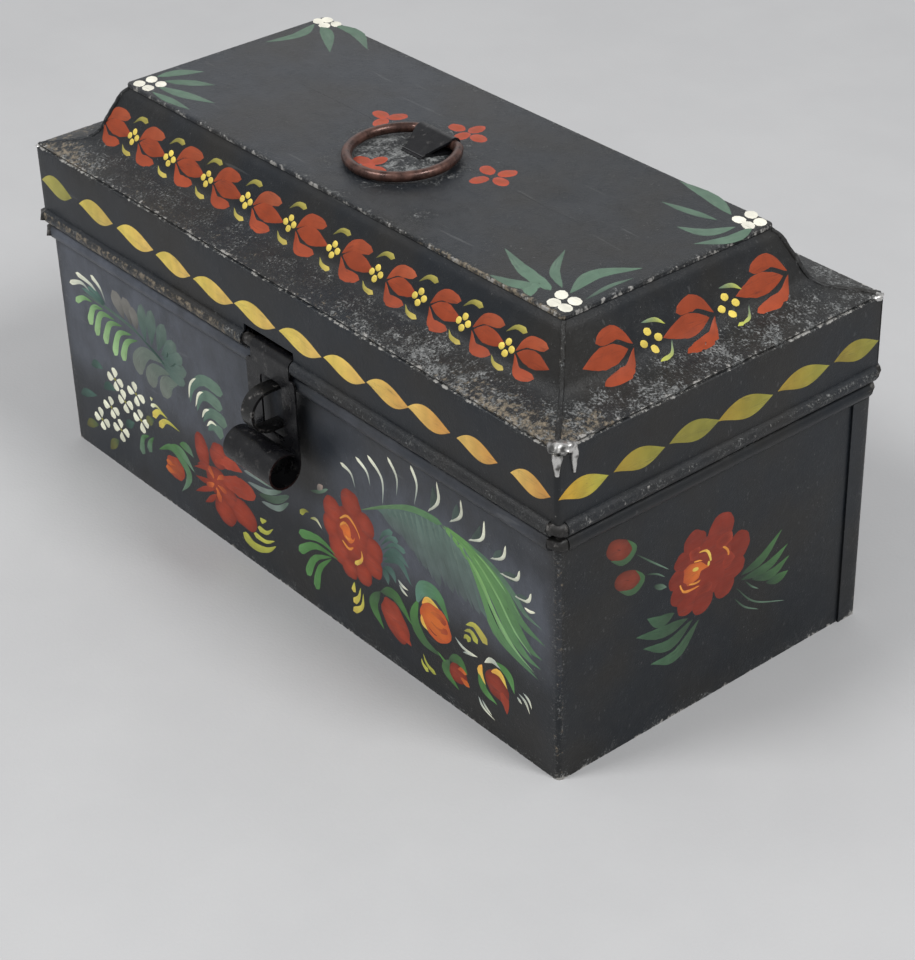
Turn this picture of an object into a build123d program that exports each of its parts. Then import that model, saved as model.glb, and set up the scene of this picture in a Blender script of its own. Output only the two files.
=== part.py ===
from build123d import *
import math
import os

# A painted tinplate box with a hipped lid, in millimetres.
# X runs along the front, +Y goes back, +Z is up. The origin is the centre of the base, on the
# surface that the box stands on. The front, with the hasp, faces -Y.

# ---- Sheet and wire -------------------------------------------------------------------------
SHEET = 0.5                  # tinplate
WIRE_R = 1.5                 # iron wire inside both rims
ROLL_INNER_R = 1.55          # inside of the tin rolled over the wire
ROLL_OUTER_R = ROLL_INNER_R + SHEET
WIRE_BEND_R = 2.2            # centreline of the wire round each corner
TOUCH = 0.05                 # gap left between sheets that lie on each other
RUN = 0.06                   # radial running clearance of a loop on its wire
CORNER_R = 1.2               # outside of every upright bend

# ---- Body -----------------------------------------------------------------------------------
BODY_X = 195.0
BODY_Y = 95.0
BODY_WIRE_INSET = 0.2        # wire centreline, in from the outer face of the wall
BODY_WIRE_Z = 62.8
WALL_TOP = BODY_WIRE_Z - 1.8
BACK_FLANGE = 6.0            # how far the back sheet laps round onto each end
BOTTOM_FLANGE = 5.0

# ---- Lid ------------------------------------------------------------------------------------
LID_X = 197.5
LID_Y = 97.5
LID_WIRE_INSET = 0.65
LID_WIRE_Z = 67.2
SKIRT_BOTTOM = LID_WIRE_Z + 1.75
SKIRT_TOP = 86.3
SKIRT_FLANGE = 4.0           # turned in under the shelf
TOP_Z = 103.7                # upper face of the flat top
PANEL_X = 162.0
PANEL_Y = 62.0
PANEL_LIP = 1.0              # folded edge, overhanging the cove
COVE_SPREAD = (LID_Y - PANEL_Y) / 2
COVE_R = 6.0                 # the sweep between the steep part and the shelf

# ---- Hasp and hoop at the front -------------------------------------------------------------
LATCH_X = 1.0                # the latch sits a little right of the middle
NOTCH_X = -0.8
NOTCH_HALF = 9.6
NOTCH_TOP = LID_WIRE_Z + ROLL_OUTER_R + 1.9
HASP_LOOP_HALF = 7.4
HASP_HALF = 9.4
HASP_SHOULDER_Z = 64.3
HASP_SLOT_HALF = 4.2
HASP_SLOT_Z = (47.0, 61.8)
FINGER_R = 4.6               # outside of the rolled finger grip
FINGER_HALF = 9.2
FINGER_Z = 42.1
HOOP_SHEET = 0.8
HOOP_HALF = 2.1
HOOP_R = 5.6                 # outside of the rounded nose
HOOP_Y = -52.0
HOOP_Z = 54.6
HOOP_LEG = 6.0               # clinched leg inside the box

# ---- Hinge straps at the back ---------------------------------------------------------------
HINGE_X = 55.0
HINGE_HALF = 7.0
HINGE_NOTCH_HALF = 7.5
HINGE_FOOT_Z = 44.5
RIVET_Z = 50.0
RIVET_X = 4.0
RIVET_R = 1.15

# ---- Carrying ring --------------------------------------------------------------------------
RING_WIRE_R = 1.25
RING_R = 12.9                # centreline
RING_AXIS_Y = 2.6
RING_CENTRE = 10.6           # ring centre, forward of the axis it swings on
RING_CORNER_R = 3.0          # where the flattened length meets the round
RING_LOOP_IN = RING_WIRE_R + 0.07
RING_STRAP_SHEET = 0.55
RING_LOOP_OUT = RING_LOOP_IN + RING_STRAP_SHEET
RING_AXIS_Z = TOP_Z + TOUCH + RING_LOOP_OUT
RING_LOOP_HALF = 6.1
RING_FOOT_HALF = 3.6
RING_FOOT_Y = -5.0
RING_REST_GAP = 0.1          # between the ring and the top where it lies down

FRONT_WIRE_Y = -(LID_Y / 2 - LID_WIRE_INSET)
BACK_WIRE_Y = -FRONT_WIRE_Y


def block(x0, x1, y0, y1, z0, z1):
    """A box between two corners."""
    centre = Location(((x0 + x1) / 2, (y0 + y1) / 2, (z0 + z1) / 2))
    return centre * Box(x1 - x0, y1 - y0, z1 - z0)


def rod(start, end, radius):
    """A round bar between two points on a line parallel to X, Y or Z."""
    start = Vector(*start)
    end = Vector(*end)
    plane = Plane(origin=start, z_dir=end - start)
    return extrude(plane * Circle(radius), (end - start).length)


def upright_shell(size_x, size_y, z0, z1):
    """Four upright sheet walls with rounded corners."""
    outer = RectangleRounded(size_x, size_y, CORNER_R)
    inner = RectangleRounded(size_x - 2 * SHEET, size_y - 2 * SHEET, CORNER_R - SHEET)
    return Pos(0, 0, z0) * extrude(outer - inner, z1 - z0)


def strip_section(points, thickness, radius):
    """The section of a bent strip whose left face follows the points, rounded at each bend."""
    line = FilletPolyline(*points, radius=radius) if len(points) > 2 else Line(*points)
    return make_face(offset(line, amount=thickness, side=Side.RIGHT, closed=True).edges())


def ring_sector(outer_r, inner_r, from_deg, to_deg):
    """Part of a flat ring, going anticlockwise between two angles."""
    def corner(radius, degrees):
        angle = math.radians(degrees)
        return (radius * math.cos(angle), radius * math.sin(angle))

    middle = (from_deg + to_deg) / 2
    edges = [
        ThreePointArc(corner(outer_r, from_deg), corner(outer_r, middle), corner(outer_r, to_deg)),
        Line(corner(outer_r, to_deg), corner(inner_r, to_deg)),
        ThreePointArc(corner(inner_r, to_deg), corner(inner_r, middle), corner(inner_r, from_deg)),
        Line(corner(inner_r, from_deg), corner(outer_r, from_deg)),
    ]
    return make_face(edges)


def along_x(section, x0, x1):
    """Extrudes a section drawn in Y and Z between two X positions."""
    plane = Plane(origin=(x0, 0, 0), x_dir=(0, 1, 0), z_dir=(1, 0, 0))
    return extrude(plane * section, x1 - x0)


def rolled_rim(half_x, half_y, z, opening, side):
    """Tin rolled over the rim wire along one side, open along a seam.

    side is front, back, left or right. opening is the seam's two angles, measured from
    outwards (0 degrees) through upwards (90 degrees).
    """
    profile = ring_sector(ROLL_OUTER_R, ROLL_INNER_R, opening[1], opening[0] + 360)
    turn, distance, half = {
        "right": (0, half_x, half_y),
        "back": (90, half_y, half_x),
        "left": (180, half_x, half_y),
        "front": (270, half_y, half_x),
    }[side]
    half -= WIRE_BEND_R + 0.3
    plane = Plane(origin=(distance, half, z), x_dir=(1, 0, 0), z_dir=(0, -1, 0))
    return Rot(0, 0, turn) * extrude(plane * profile, 2 * half)


def rim_wire(half_x, half_y, z):
    """A closed rectangle of wire with rounded corners."""
    straight_x = half_x - WIRE_BEND_R
    straight_y = half_y - WIRE_BEND_R
    wire = None
    for side in (-1, 1):
        pieces = [
            rod((-straight_x, side * half_y, z), (straight_x, side * half_y, z), WIRE_R),
            rod((side * half_x, -straight_y, z), (side * half_x, straight_y, z), WIRE_R),
        ]
        for piece in pieces:
            wire = piece if wire is None else wire + piece
    for turn, sx, sy in ((0, 1, 1), (90, -1, 1), (180, -1, -1), (270, 1, -1)):
        section = Plane.XZ * Pos(WIRE_BEND_R, 0) * Circle(WIRE_R)
        bend = revolve(section, Axis.Z, 90)
        wire += Pos(sx * straight_x, sy * straight_y, z) * Rot(0, 0, turn) * bend
    return wire


# ---- The body -------------------------------------------------------------------------------
def body_walls(wanted):
    """The upright sheet and rolled rim of the named sides."""
    half_x = BODY_X / 2 - BODY_WIRE_INSET
    half_y = BODY_Y / 2 - BODY_WIRE_INSET
    rims = [rolled_rim(half_x, half_y, BODY_WIRE_Z, (210, 238), side) for side in wanted]
    result = rims[0]
    for rim in rims[1:]:
        result += rim
    return result


def hoop_slots():
    """Two slots in the front wall for the legs of the hoop."""
    half = HOOP_HALF + 0.1
    cuts = []
    for z in (HOOP_Z + HOOP_R - HOOP_SHEET / 2, HOOP_Z - HOOP_R + HOOP_SHEET / 2):
        cuts.append(block(LATCH_X - half, LATCH_X + half, -BODY_Y / 2 - 1, -BODY_Y / 2 + 2,
                          z - 0.5, z + 0.5))
    return cuts


def body_front_and_ends():
    """One sheet bent round three sides."""
    shell = upright_shell(BODY_X, BODY_Y, 0, WALL_TOP)
    # the rear is left open, just short of the bends of the back sheet
    shell -= block(-BODY_X, BODY_X, BODY_Y / 2 - 3, BODY_Y, -1, WALL_TOP + 1)
    rear = BODY_Y / 2 - CORNER_R - TOUCH
    for side in (-1, 1):
        outer = side * BODY_X / 2
        inner = side * (BODY_X / 2 - SHEET)
        shell += block(min(outer, inner), max(outer, inner), BODY_Y / 2 - 3, rear, 0, WALL_TOP)
    shell += body_walls(("front", "left", "right"))
    for slot in hoop_slots():
        shell -= slot
    return shell


def body_back():
    """The back sheet, with a flange lapped onto each end."""
    outer_x = BODY_X + 2 * (SHEET + TOUCH)
    shell = upright_shell(outer_x, BODY_Y, 0, WALL_TOP)
    shell -= block(-BODY_X, BODY_X, -BODY_Y, BODY_Y / 2 - BACK_FLANGE, -1, WALL_TOP + 1)
    # the flanges stop below the rolled rims of the ends
    for side in (-1, 1):
        near = side * (BODY_X / 2 - 1)
        far = side * BODY_X
        shell -= block(min(near, far), max(near, far), -BODY_Y, BODY_Y, WALL_TOP - 0.4, WALL_TOP + 1)
    shell += body_walls(("back",))
    for hinge in (-HINGE_X, HINGE_X):
        for offset_x in (-RIVET_X, RIVET_X):
            x = hinge + offset_x
            shell -= rod((x, BODY_Y / 2 - 2, RIVET_Z), (x, BODY_Y / 2 + 2, RIVET_Z), RIVET_R + TOUCH)
    return shell


def body_bottom():
    """A shallow tray, its flange standing against the inside of the walls."""
    size_x = BODY_X - 2 * (SHEET + TOUCH)
    size_y = BODY_Y - 2 * (SHEET + TOUCH)
    plate = RectangleRounded(size_x, size_y, CORNER_R - SHEET)
    hollow = RectangleRounded(size_x - 2 * SHEET, size_y - 2 * SHEET, 0.3)
    tray = extrude(plate, BOTTOM_FLANGE)
    return tray - Pos(0, 0, SHEET) * extrude(hollow, BOTTOM_FLANGE)


def body_rim_wire():
    return rim_wire(BODY_X / 2 - BODY_WIRE_INSET, BODY_Y / 2 - BODY_WIRE_INSET, BODY_WIRE_Z)


def hoop():
    """A strip bent into a nose, its legs through the front wall and clinched behind a plate."""
    inside = -BODY_Y / 2 + 2 * SHEET + 2 * TOUCH
    nose = ring_sector(HOOP_R, HOOP_R - HOOP_SHEET, 90, 270)
    shape = along_x(Pos(HOOP_Y, HOOP_Z) * nose, LATCH_X - HOOP_HALF, LATCH_X + HOOP_HALF)
    for side in (-1, 1):
        outer = HOOP_Z + side * HOOP_R
        inner = HOOP_Z + side * (HOOP_R - HOOP_SHEET)
        tip = outer + side * HOOP_LEG
        x0 = LATCH_X - HOOP_HALF
        x1 = LATCH_X + HOOP_HALF
        back = inside + HOOP_SHEET
        shape += block(x0, x1, HOOP_Y, back, min(inner, outer), max(inner, outer))
        if side < 0:
            shape += block(x0, x1, inside, back, tip, inner)
    # the upper leg is folded down, clear of the rolled rim
    upper = HOOP_Z + HOOP_R
    shape += block(LATCH_X - HOOP_HALF, LATCH_X + HOOP_HALF, inside, inside + HOOP_SHEET,
                   upper - 4.5, upper)
    return shape


def hoop_backing_plate():
    """A small plate inside the front wall that spreads the pull of the hoop."""
    y0 = -BODY_Y / 2 + SHEET + TOUCH
    plate = block(LATCH_X - 8, LATCH_X + 8, y0, y0 + SHEET, HOOP_Z - 13, HOOP_Z + 6.1)
    for slot in hoop_slots():
        plate -= slot
    return plate


def hinge_strap(x):
    """A strip looped round the lid's wire, then down past the rim to the back wall."""
    inner = WIRE_R + RUN
    outer = inner + SHEET
    loop = Pos(BACK_WIRE_Y, LID_WIRE_Z) * ring_sector(outer, inner, 0, 255)
    face = BODY_Y / 2 + TOUCH
    line = [
        (BACK_WIRE_Y + outer, LID_WIRE_Z),
        (BACK_WIRE_Y + outer, 60.0),
        (face + SHEET, 56.6),
        (face + SHEET, HINGE_FOOT_Z),
    ]
    leaf = strip_section(line, SHEET, 1.5)
    strap = along_x(loop, x - HINGE_HALF, x + HINGE_HALF)
    strap += along_x(leaf, x - HINGE_HALF, x + HINGE_HALF)
    for offset_x in (-RIVET_X, RIVET_X):
        at = x + offset_x
        strap -= rod((at, face - 1, RIVET_Z), (at, face + 2, RIVET_Z), RIVET_R + TOUCH)
    return strap


def hinge_rivets():
    """Two rivets through each hinge strap and the back sheet."""
    outside = BODY_Y / 2 + TOUCH + SHEET
    inside = BODY_Y / 2 - SHEET
    rivets = []
    for hinge in (-HINGE_X, HINGE_X):
        for offset_x in (-RIVET_X, RIVET_X):
            x = hinge + offset_x
            head = rod((x, outside + 0.02, RIVET_Z), (x, outside + 0.8, RIVET_Z), 2.1)
            head = fillet(head.edges().group_by(Axis.Y)[-1], 0.5)
            shank = rod((x, inside - 0.5, RIVET_Z), (x, outside + 0.4, RIVET_Z), RIVET_R)
            tail = rod((x, inside - 0.6, RIVET_Z), (x, inside - 0.02, RIVET_Z), 1.7)
            rivets.append(head + shank + tail)
    return Compound(children=rivets)


# ---- The lid --------------------------------------------------------------------------------
def lid_notches(sides):
    """Gaps in the lid's rolled rim where the wire shows and a loop rides on it."""
    depth = 6.0
    cuts = []
    if "front" in sides:
        cuts.append(block(NOTCH_X - NOTCH_HALF, NOTCH_X + NOTCH_HALF, -LID_Y / 2 - depth,
                          -LID_Y / 2 + depth, LID_WIRE_Z - 4, NOTCH_TOP))
    if "back" in sides:
        for x in (-HINGE_X, HINGE_X):
            cuts.append(block(x - HINGE_NOTCH_HALF, x + HINGE_NOTCH_HALF, LID_Y / 2 - depth,
                              LID_Y / 2 + depth, LID_WIRE_Z - 4, NOTCH_TOP))
    return cuts


def skirt_flange():
    """The edge turned in at the top of the skirt, for the shelf to sit on."""
    outer = RectangleRounded(LID_X, LID_Y, CORNER_R)
    inner = Rectangle(LID_X - 2 * SKIRT_FLANGE, LID_Y - 2 * SKIRT_FLANGE)
    return Pos(0, 0, SKIRT_TOP - SHEET) * extrude(outer - inner, SHEET)


def lid_rims(sides):
    half_x = LID_X / 2 - LID_WIRE_INSET
    half_y = LID_Y / 2 - LID_WIRE_INSET
    rims = [rolled_rim(half_x, half_y, LID_WIRE_Z, (118, 146), side) for side in sides]
    result = rims[0]
    for rim in rims[1:]:
        result += rim
    return result


def lid_skirt_front_and_ends():
    """The upright band of the lid round the front and both ends."""
    shell = upright_shell(LID_X, LID_Y, SKIRT_BOTTOM, SKIRT_TOP) + skirt_flange()
    top_edges = shell.faces().sort_by(Axis.Z)[-1].outer_wire().edges()
    shell = fillet(top_edges, 0.4)
    cut_from = LID_Y / 2 - CORNER_R
    shell -= block(-LID_X, LID_X, cut_from, LID_Y, 0, TOP_Z)
    shell -= block(-LID_X / 2 + SHEET, LID_X / 2 - SHEET, LID_Y / 2 - SKIRT_FLANGE - 0.1, LID_Y,
                   0, TOP_Z)
    shell += lid_rims(("front", "left", "right"))
    for notch in lid_notches(("front",)):
        shell -= notch
    return shell


def lid_skirt_back():
    """The band along the back, its flanges inside the ends."""
    shell = upright_shell(LID_X, LID_Y, SKIRT_BOTTOM, SKIRT_TOP) + skirt_flange()
    top_edges = shell.faces().sort_by(Axis.Z)[-1].outer_wire().edges()
    shell = fillet(top_edges, 0.4)
    front_of_seam = LID_Y / 2 - CORNER_R + TOUCH
    inside_x = LID_X / 2 - SHEET - TOUCH
    shell -= block(-LID_X, LID_X, -LID_Y, LID_Y / 2 - SKIRT_FLANGE, 0, TOP_Z)
    for side in (-1, 1):
        near = side * inside_x
        far = side * LID_X
        shell -= block(min(near, far), max(near, far), 0, front_of_seam, 0, TOP_Z)
        lap = side * (inside_x - SHEET)
        shell += block(min(near, lap), max(near, lap), LID_Y / 2 - 7, LID_Y / 2 - SHEET / 2,
                       SKIRT_BOTTOM + 2, SKIRT_TOP - SHEET)
    shell += lid_rims(("back",))
    for notch in lid_notches(("back",)):
        shell -= notch
    return shell


def cove_section():
    """Section of the cove: x is out from the edge of the flat top, y is height."""
    shelf_edge = (COVE_SPREAD - 0.55, SKIRT_TOP + TOUCH + SHEET)
    bend = (6.45, 88.9)
    top_slope = (0.9, 101.0)
    rim = (-0.65, 102.5)
    rim_top = (-0.65, TOP_Z - SHEET - TOUCH)
    outer = Polyline(rim_top, rim, top_slope, bend, shelf_edge)
    outer = fillet(outer.vertices().sort_by(Axis.Y)[1], COVE_R)
    outer = fillet(outer.vertices().sort_by(Axis.Y)[-3], 1.5)
    return make_face(offset(outer, amount=SHEET, side=Side.RIGHT, closed=True).edges())


def cove(side):
    """One side of the hipped lid, mitred at 45 degrees at both ends."""
    section = cove_section()
    turn, half_across, half_along = {
        "front": (0, PANEL_Y / 2, PANEL_X / 2),
        "right": (90, PANEL_X / 2, PANEL_Y / 2),
        "back": (180, PANEL_Y / 2, PANEL_X / 2),
        "left": (270, PANEL_X / 2, PANEL_Y / 2),
    }[side]
    reach = half_along + COVE_SPREAD
    plane = Plane(origin=(-reach, -half_across, 0), x_dir=(0, -1, 0), z_dir=(-1, 0, 0))
    sheet = extrude(plane * section, -2 * reach)
    inner = 3.0
    mitre = Polyline(
        (-(half_along - inner), -(half_across - inner)),
        (half_along - inner, -(half_across - inner)),
        (half_along + 20, -(half_across + 20)),
        (-(half_along + 20), -(half_across + 20)),
        close=True,
    )
    wedge = Pos(0, -0.05, 80) * extrude(make_face(mitre), 30)
    return Rot(0, 0, turn) * (sheet & wedge)


def lid_top_panel():
    """The flat top, its edge folded down over the head of the cove."""
    low = TOP_Z - PANEL_LIP
    outer = Pos(0, 0, low) * extrude(RectangleRounded(PANEL_X, PANEL_Y, CORNER_R), PANEL_LIP)
    outer = fillet(outer.edges().group_by(Axis.Z)[-1], 0.4)
    hollow = RectangleRounded(PANEL_X - 2 * SHEET, PANEL_Y - 2 * SHEET, CORNER_R - SHEET)
    panel = outer - Pos(0, 0, low) * extrude(hollow, PANEL_LIP - SHEET)
    half = RING_FOOT_HALF + 0.1
    return panel - block(-half, half, RING_FOOT_Y - 0.65, RING_FOOT_Y + 0.65, low - 1, TOP_Z + 1)


def lid_rim_wire():
    return rim_wire(LID_X / 2 - LID_WIRE_INSET, LID_Y / 2 - LID_WIRE_INSET, LID_WIRE_Z)


def ring_strap():
    """A folded strip that holds the ring, both legs through a slit in the top and spread."""
    t = RING_STRAP_SHEET
    leave = math.radians(115)                 # where the upper leg leaves the loop
    fall = math.tan(leave - math.pi / 2)
    outer = (RING_AXIS_Y + RING_LOOP_OUT * math.cos(leave),
             RING_AXIS_Z + RING_LOOP_OUT * math.sin(leave))
    inner = (RING_AXIS_Y + RING_LOOP_IN * math.cos(leave),
             RING_AXIS_Z + RING_LOOP_IN * math.sin(leave))
    front = RING_FOOT_Y - t
    middle = RING_FOOT_Y
    back = RING_FOOT_Y + t
    under = TOP_Z - SHEET - TOUCH
    spread = 4.5
    upper_leg = make_face(Polyline(
        outer,
        (front, outer[1] - (outer[0] - front) * fall),
        (front, under),
        (front - spread, under),
        (front - spread, under - t),
        (middle, under - t),
        (middle, inner[1] - (inner[0] - middle) * fall),
        inner,
        close=True,
    ))
    low = RING_AXIS_Z - RING_LOOP_OUT
    lower_leg = make_face(Polyline(
        (RING_AXIS_Y, low),
        (back, low),
        (back, under),
        (back + spread, under),
        (back + spread, under - t),
        (middle, under - t),
        (middle, low + t),
        (RING_AXIS_Y, low + t),
        close=True,
    ))
    loop = Pos(RING_AXIS_Y, RING_AXIS_Z) * ring_sector(
        RING_LOOP_OUT, RING_LOOP_IN, -90, math.degrees(leave))
    half = RING_LOOP_HALF
    strap = along_x(loop, -half, half)
    strap += along_x(upper_leg, -half, half)
    strap += along_x(lower_leg, -half, half)
    outline = Polyline(
        (-RING_FOOT_HALF, RING_FOOT_Y - 8),
        (RING_FOOT_HALF, RING_FOOT_Y - 8),
        (RING_FOOT_HALF, RING_FOOT_Y + 1.0),
        (RING_LOOP_HALF, RING_AXIS_Y - 1.5),
        (RING_LOOP_HALF, RING_AXIS_Y + 4),
        (-RING_LOOP_HALF, RING_AXIS_Y + 4),
        (-RING_LOOP_HALF, RING_AXIS_Y - 1.5),
        (-RING_FOOT_HALF, RING_FOOT_Y + 1.0),
        close=True,
    )
    above = Pos(0, 0, TOP_Z) * extrude(make_face(outline), 8)
    below = block(-RING_FOOT_HALF, RING_FOOT_HALF, RING_FOOT_Y - 8, RING_FOOT_Y + 8,
                  TOP_Z - 5, TOP_Z)
    return strap & (above + below)


# ---- What swings on the lid -----------------------------------------------------------------
def ring_rest_angle():
    """How far the ring leans down from level, in degrees, until it meets the top."""
    reach = RING_CENTRE + RING_R
    drop = RING_AXIS_Z - (TOP_Z + RING_WIRE_R + RING_REST_GAP)
    return math.degrees(math.asin(drop / reach))


def carrying_ring():
    """A ring of wire, flattened for the length that runs through its strap."""
    half_chord = math.sqrt(RING_R ** 2 - RING_CENTRE ** 2)
    turn = math.acos(RING_CENTRE / RING_R)
    straight = half_chord - RING_CORNER_R * math.tan(turn / 2)
    corner_x = straight + RING_CORNER_R * math.sin(turn)
    corner_y = -RING_CORNER_R * (1 - math.cos(turn))
    pieces = [rod((-straight, 0, 0), (straight, 0, 0), RING_WIRE_R)]
    # each rounded corner starts where the straight ends and turns towards the front
    for side in (-1, 1):
        section = Plane(origin=(side * straight, 0, 0), z_dir=(1, 0, 0)) * Circle(RING_WIRE_R)
        pivot = Axis((side * straight, -RING_CORNER_R, 0), (0, 0, -side))
        pieces.append(revolve(section, pivot, math.degrees(turn)))
    # the round runs from the right corner, by the front, to the left corner
    radius = math.hypot(corner_x, corner_y + RING_CENTRE)
    start = math.degrees(math.atan2(corner_y + RING_CENTRE, corner_x))
    section = Plane.XZ * Pos(radius, 0) * Circle(RING_WIRE_R)
    round_part = revolve(section, Axis.Z, -(180 + 2 * start))
    pieces.append(Pos(0, -RING_CENTRE, 0) * Rot(0, 0, start) * round_part)
    shape = pieces[0]
    for piece in pieces[1:]:
        shape += piece
    return Pos(0, RING_AXIS_Y, RING_AXIS_Z) * Rot(ring_rest_angle(), 0, 0) * shape


def hasp():
    """A strap looped round the lid's wire, slotted for the hoop and rolled into a finger grip."""
    inner = WIRE_R + RUN
    outer = inner + SHEET
    loop = Pos(FRONT_WIRE_Y, LID_WIRE_Z) * ring_sector(outer, inner, -75, 180)
    face = FRONT_WIRE_Y - outer
    strap = along_x(loop, LATCH_X - HASP_LOOP_HALF, LATCH_X + HASP_LOOP_HALF)
    strap += block(LATCH_X - HASP_LOOP_HALF, LATCH_X + HASP_LOOP_HALF, face, face + SHEET,
                   HASP_SHOULDER_Z - 1, LID_WIRE_Z)
    blade = block(LATCH_X - HASP_HALF, LATCH_X + HASP_HALF, face, face + SHEET,
                  FINGER_Z, HASP_SHOULDER_Z)
    shoulders = blade.edges().filter_by(Axis.Y).group_by(Axis.Z)[-1]
    strap += fillet(shoulders, 1.2)
    low, high = HASP_SLOT_Z
    slot = Pos(LATCH_X, face + SHEET / 2, (low + high) / 2) * Box(
        2 * HASP_SLOT_HALF, 4 * SHEET, high - low)
    strap -= fillet(slot.edges().filter_by(Axis.Y), 1.5)
    grip = Pos(face + SHEET - FINGER_R, FINGER_Z) * ring_sector(FINGER_R, FINGER_R - SHEET, 44, 360)
    strap += along_x(grip, LATCH_X - FINGER_HALF, LATCH_X + FINGER_HALF)
    return strap


NODES = {
    "body_front_and_ends": body_front_and_ends,
    "body_back": body_back,
    "body_bottom": body_bottom,
    "body_rim_wire": body_rim_wire,
    "hoop": hoop,
    "hoop_backing_plate": hoop_backing_plate,
    "hinge_strap_left": lambda: hinge_strap(-HINGE_X),
    "hinge_strap_right": lambda: hinge_strap(HINGE_X),
    "hinge_rivets": hinge_rivets,
    "lid_skirt_front_and_ends": lid_skirt_front_and_ends,
    "lid_skirt_back": lid_skirt_back,
    "lid_cove_front": lambda: cove("front"),
    "lid_cove_right": lambda: cove("right"),
    "lid_cove_back": lambda: cove("back"),
    "lid_cove_left": lambda: cove("left"),
    "lid_top_panel": lid_top_panel,
    "lid_rim_wire": lid_rim_wire,
    "ring_strap": ring_strap,
    "carrying_ring": carrying_ring,
    "hasp": hasp,
}

os.makedirs("parts", exist_ok=True)
for node, build in NODES.items():
    shape = build()
    export_step(shape, f"parts/{node}.step")
    size = shape.bounding_box()
    print(f"{node}: {len(shape.solids())} solid(s), {shape.volume:.1f} mm3, "
          f"x {size.min.X:.2f}..{size.max.X:.2f} y {size.min.Y:.2f}..{size.max.Y:.2f} "
          f"z {size.min.Z:.2f}..{size.max.Z:.2f}, valid {shape.is_valid}")
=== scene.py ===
"""The looks of a painted tin box with a hipped lid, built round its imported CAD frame.

Lengths are in millimetres, in the frame's own axes, until a mesh is made in metres: X runs along
the front, the front with the hasp faces -Y and +Z is up. Sheets that show are rebuilt here with the
small dents and waves of hand work, and the painted strokes lie on the same surface functions.
"""
import math

import bpy
from mathutils import Matrix, Vector, noise


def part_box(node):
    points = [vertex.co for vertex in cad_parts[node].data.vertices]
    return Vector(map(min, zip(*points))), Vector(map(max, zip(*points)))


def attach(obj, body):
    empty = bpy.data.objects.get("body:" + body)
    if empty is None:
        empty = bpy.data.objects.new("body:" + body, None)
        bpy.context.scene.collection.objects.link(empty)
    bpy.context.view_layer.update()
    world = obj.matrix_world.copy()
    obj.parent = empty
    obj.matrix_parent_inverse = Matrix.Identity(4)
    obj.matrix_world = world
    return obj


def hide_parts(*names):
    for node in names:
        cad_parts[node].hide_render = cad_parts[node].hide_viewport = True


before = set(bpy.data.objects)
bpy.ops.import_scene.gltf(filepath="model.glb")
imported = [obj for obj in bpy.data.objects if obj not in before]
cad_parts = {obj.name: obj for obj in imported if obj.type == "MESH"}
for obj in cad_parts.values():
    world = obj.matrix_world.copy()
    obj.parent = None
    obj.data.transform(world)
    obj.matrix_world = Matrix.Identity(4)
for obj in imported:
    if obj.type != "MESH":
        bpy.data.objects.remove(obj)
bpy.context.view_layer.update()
MM = 0.001
FRONT, RIGHT, BACK, LEFT = range(4)      # sides, anticlockwise seen from above


def box_mm(node):
    """A CAD node's lowest and highest corner in millimetres."""
    low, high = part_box(node)
    return low / MM, high / MM


# ---- Sizes taken from the frame ---------------------------------------------------------------
SHEET = 0.5                  # tinplate
WIRE_R = 1.5                 # wire inside both rims
ROLL_R = 2.05                # outside of the tin rolled over the wire
CORNER_R = 1.2               # outside of every upright bend
BEND_CLEAR = 1.5             # how far before a corner the rolled tin stops
BODY_SEAM = (210, 238)       # gap in the body's roll where its wall joins, degrees up from outward
LID_SEAM = (118, 146)        # the same gap in the lid's roll

BODY_WIRE = box_mm("body_rim_wire")
LID_WIRE = box_mm("lid_rim_wire")
PANEL = box_mm("lid_top_panel")
SKIRT = box_mm("lid_skirt_front_and_ends")
STRAP_RIGHT = box_mm("hinge_strap_right")
STRAP_LEFT = box_mm("hinge_strap_left")

# Half sizes: of the wires' centrelines, then of the outside of the walls.
BODY_RIM = (BODY_WIRE[1].x - WIRE_R, BODY_WIRE[1].y - WIRE_R)
LID_RIM = (LID_WIRE[1].x - WIRE_R, LID_WIRE[1].y - WIRE_R)
BODY_RIM_Z = (BODY_WIRE[0].z + BODY_WIRE[1].z) / 2
LID_RIM_Z = (LID_WIRE[0].z + LID_WIRE[1].z) / 2
BODY_OVER_WIRE = 0.2                     # the walls' outside beyond the wire's centreline
LID_OVER_WIRE = 0.65
BODY = (BODY_RIM[0] + BODY_OVER_WIRE, BODY_RIM[1] + BODY_OVER_WIRE)
LID = (LID_RIM[0] + LID_OVER_WIRE, LID_RIM[1] + LID_OVER_WIRE)
WALL_TOP = BODY_RIM_Z - 1.8              # where the flat walls run into their rolls
SKIRT_BOTTOM = LID_RIM_Z + 1.75
SKIRT_TOP = SKIRT[1].z
TOP_Z = PANEL[1].z
PANEL_HALF = (PANEL[1].x, PANEL[1].y)
COVE_SPREAD = LID[1] - PANEL_HALF[1]
NOTCH = (-10.4, 8.8)                     # gap in the lid's front rim, round the hoop
NOTCH_TOP = LID_RIM_Z + ROLL_R + 1.9
STRAP_GAP = 0.5                          # room beside each hinge strap
HINGE_NOTCHES = [
    (strap[0].x - STRAP_GAP, strap[1].x + STRAP_GAP) for strap in (STRAP_LEFT, STRAP_RIGHT)
]
LAP = 6.0                    # how far the back sheet laps round onto each end


# ---- Small helpers ----------------------------------------------------------------------------
def facing(side, half):
    """A rectangle's half length along a side and its half depth out to it."""
    return half if side in (FRONT, BACK) else half[::-1]


def turned(side):
    """The turn that takes the front to a side."""
    return Matrix.Rotation(side * math.pi / 2, 3, "Z")


def smooth(value):
    """0 below 0, 1 above 1, and an even ease between."""
    value = max(0.0, min(1.0, value))
    return value * value * (3 - 2 * value)


def mix(a, b, share):
    return a + (b - a) * share


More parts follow.
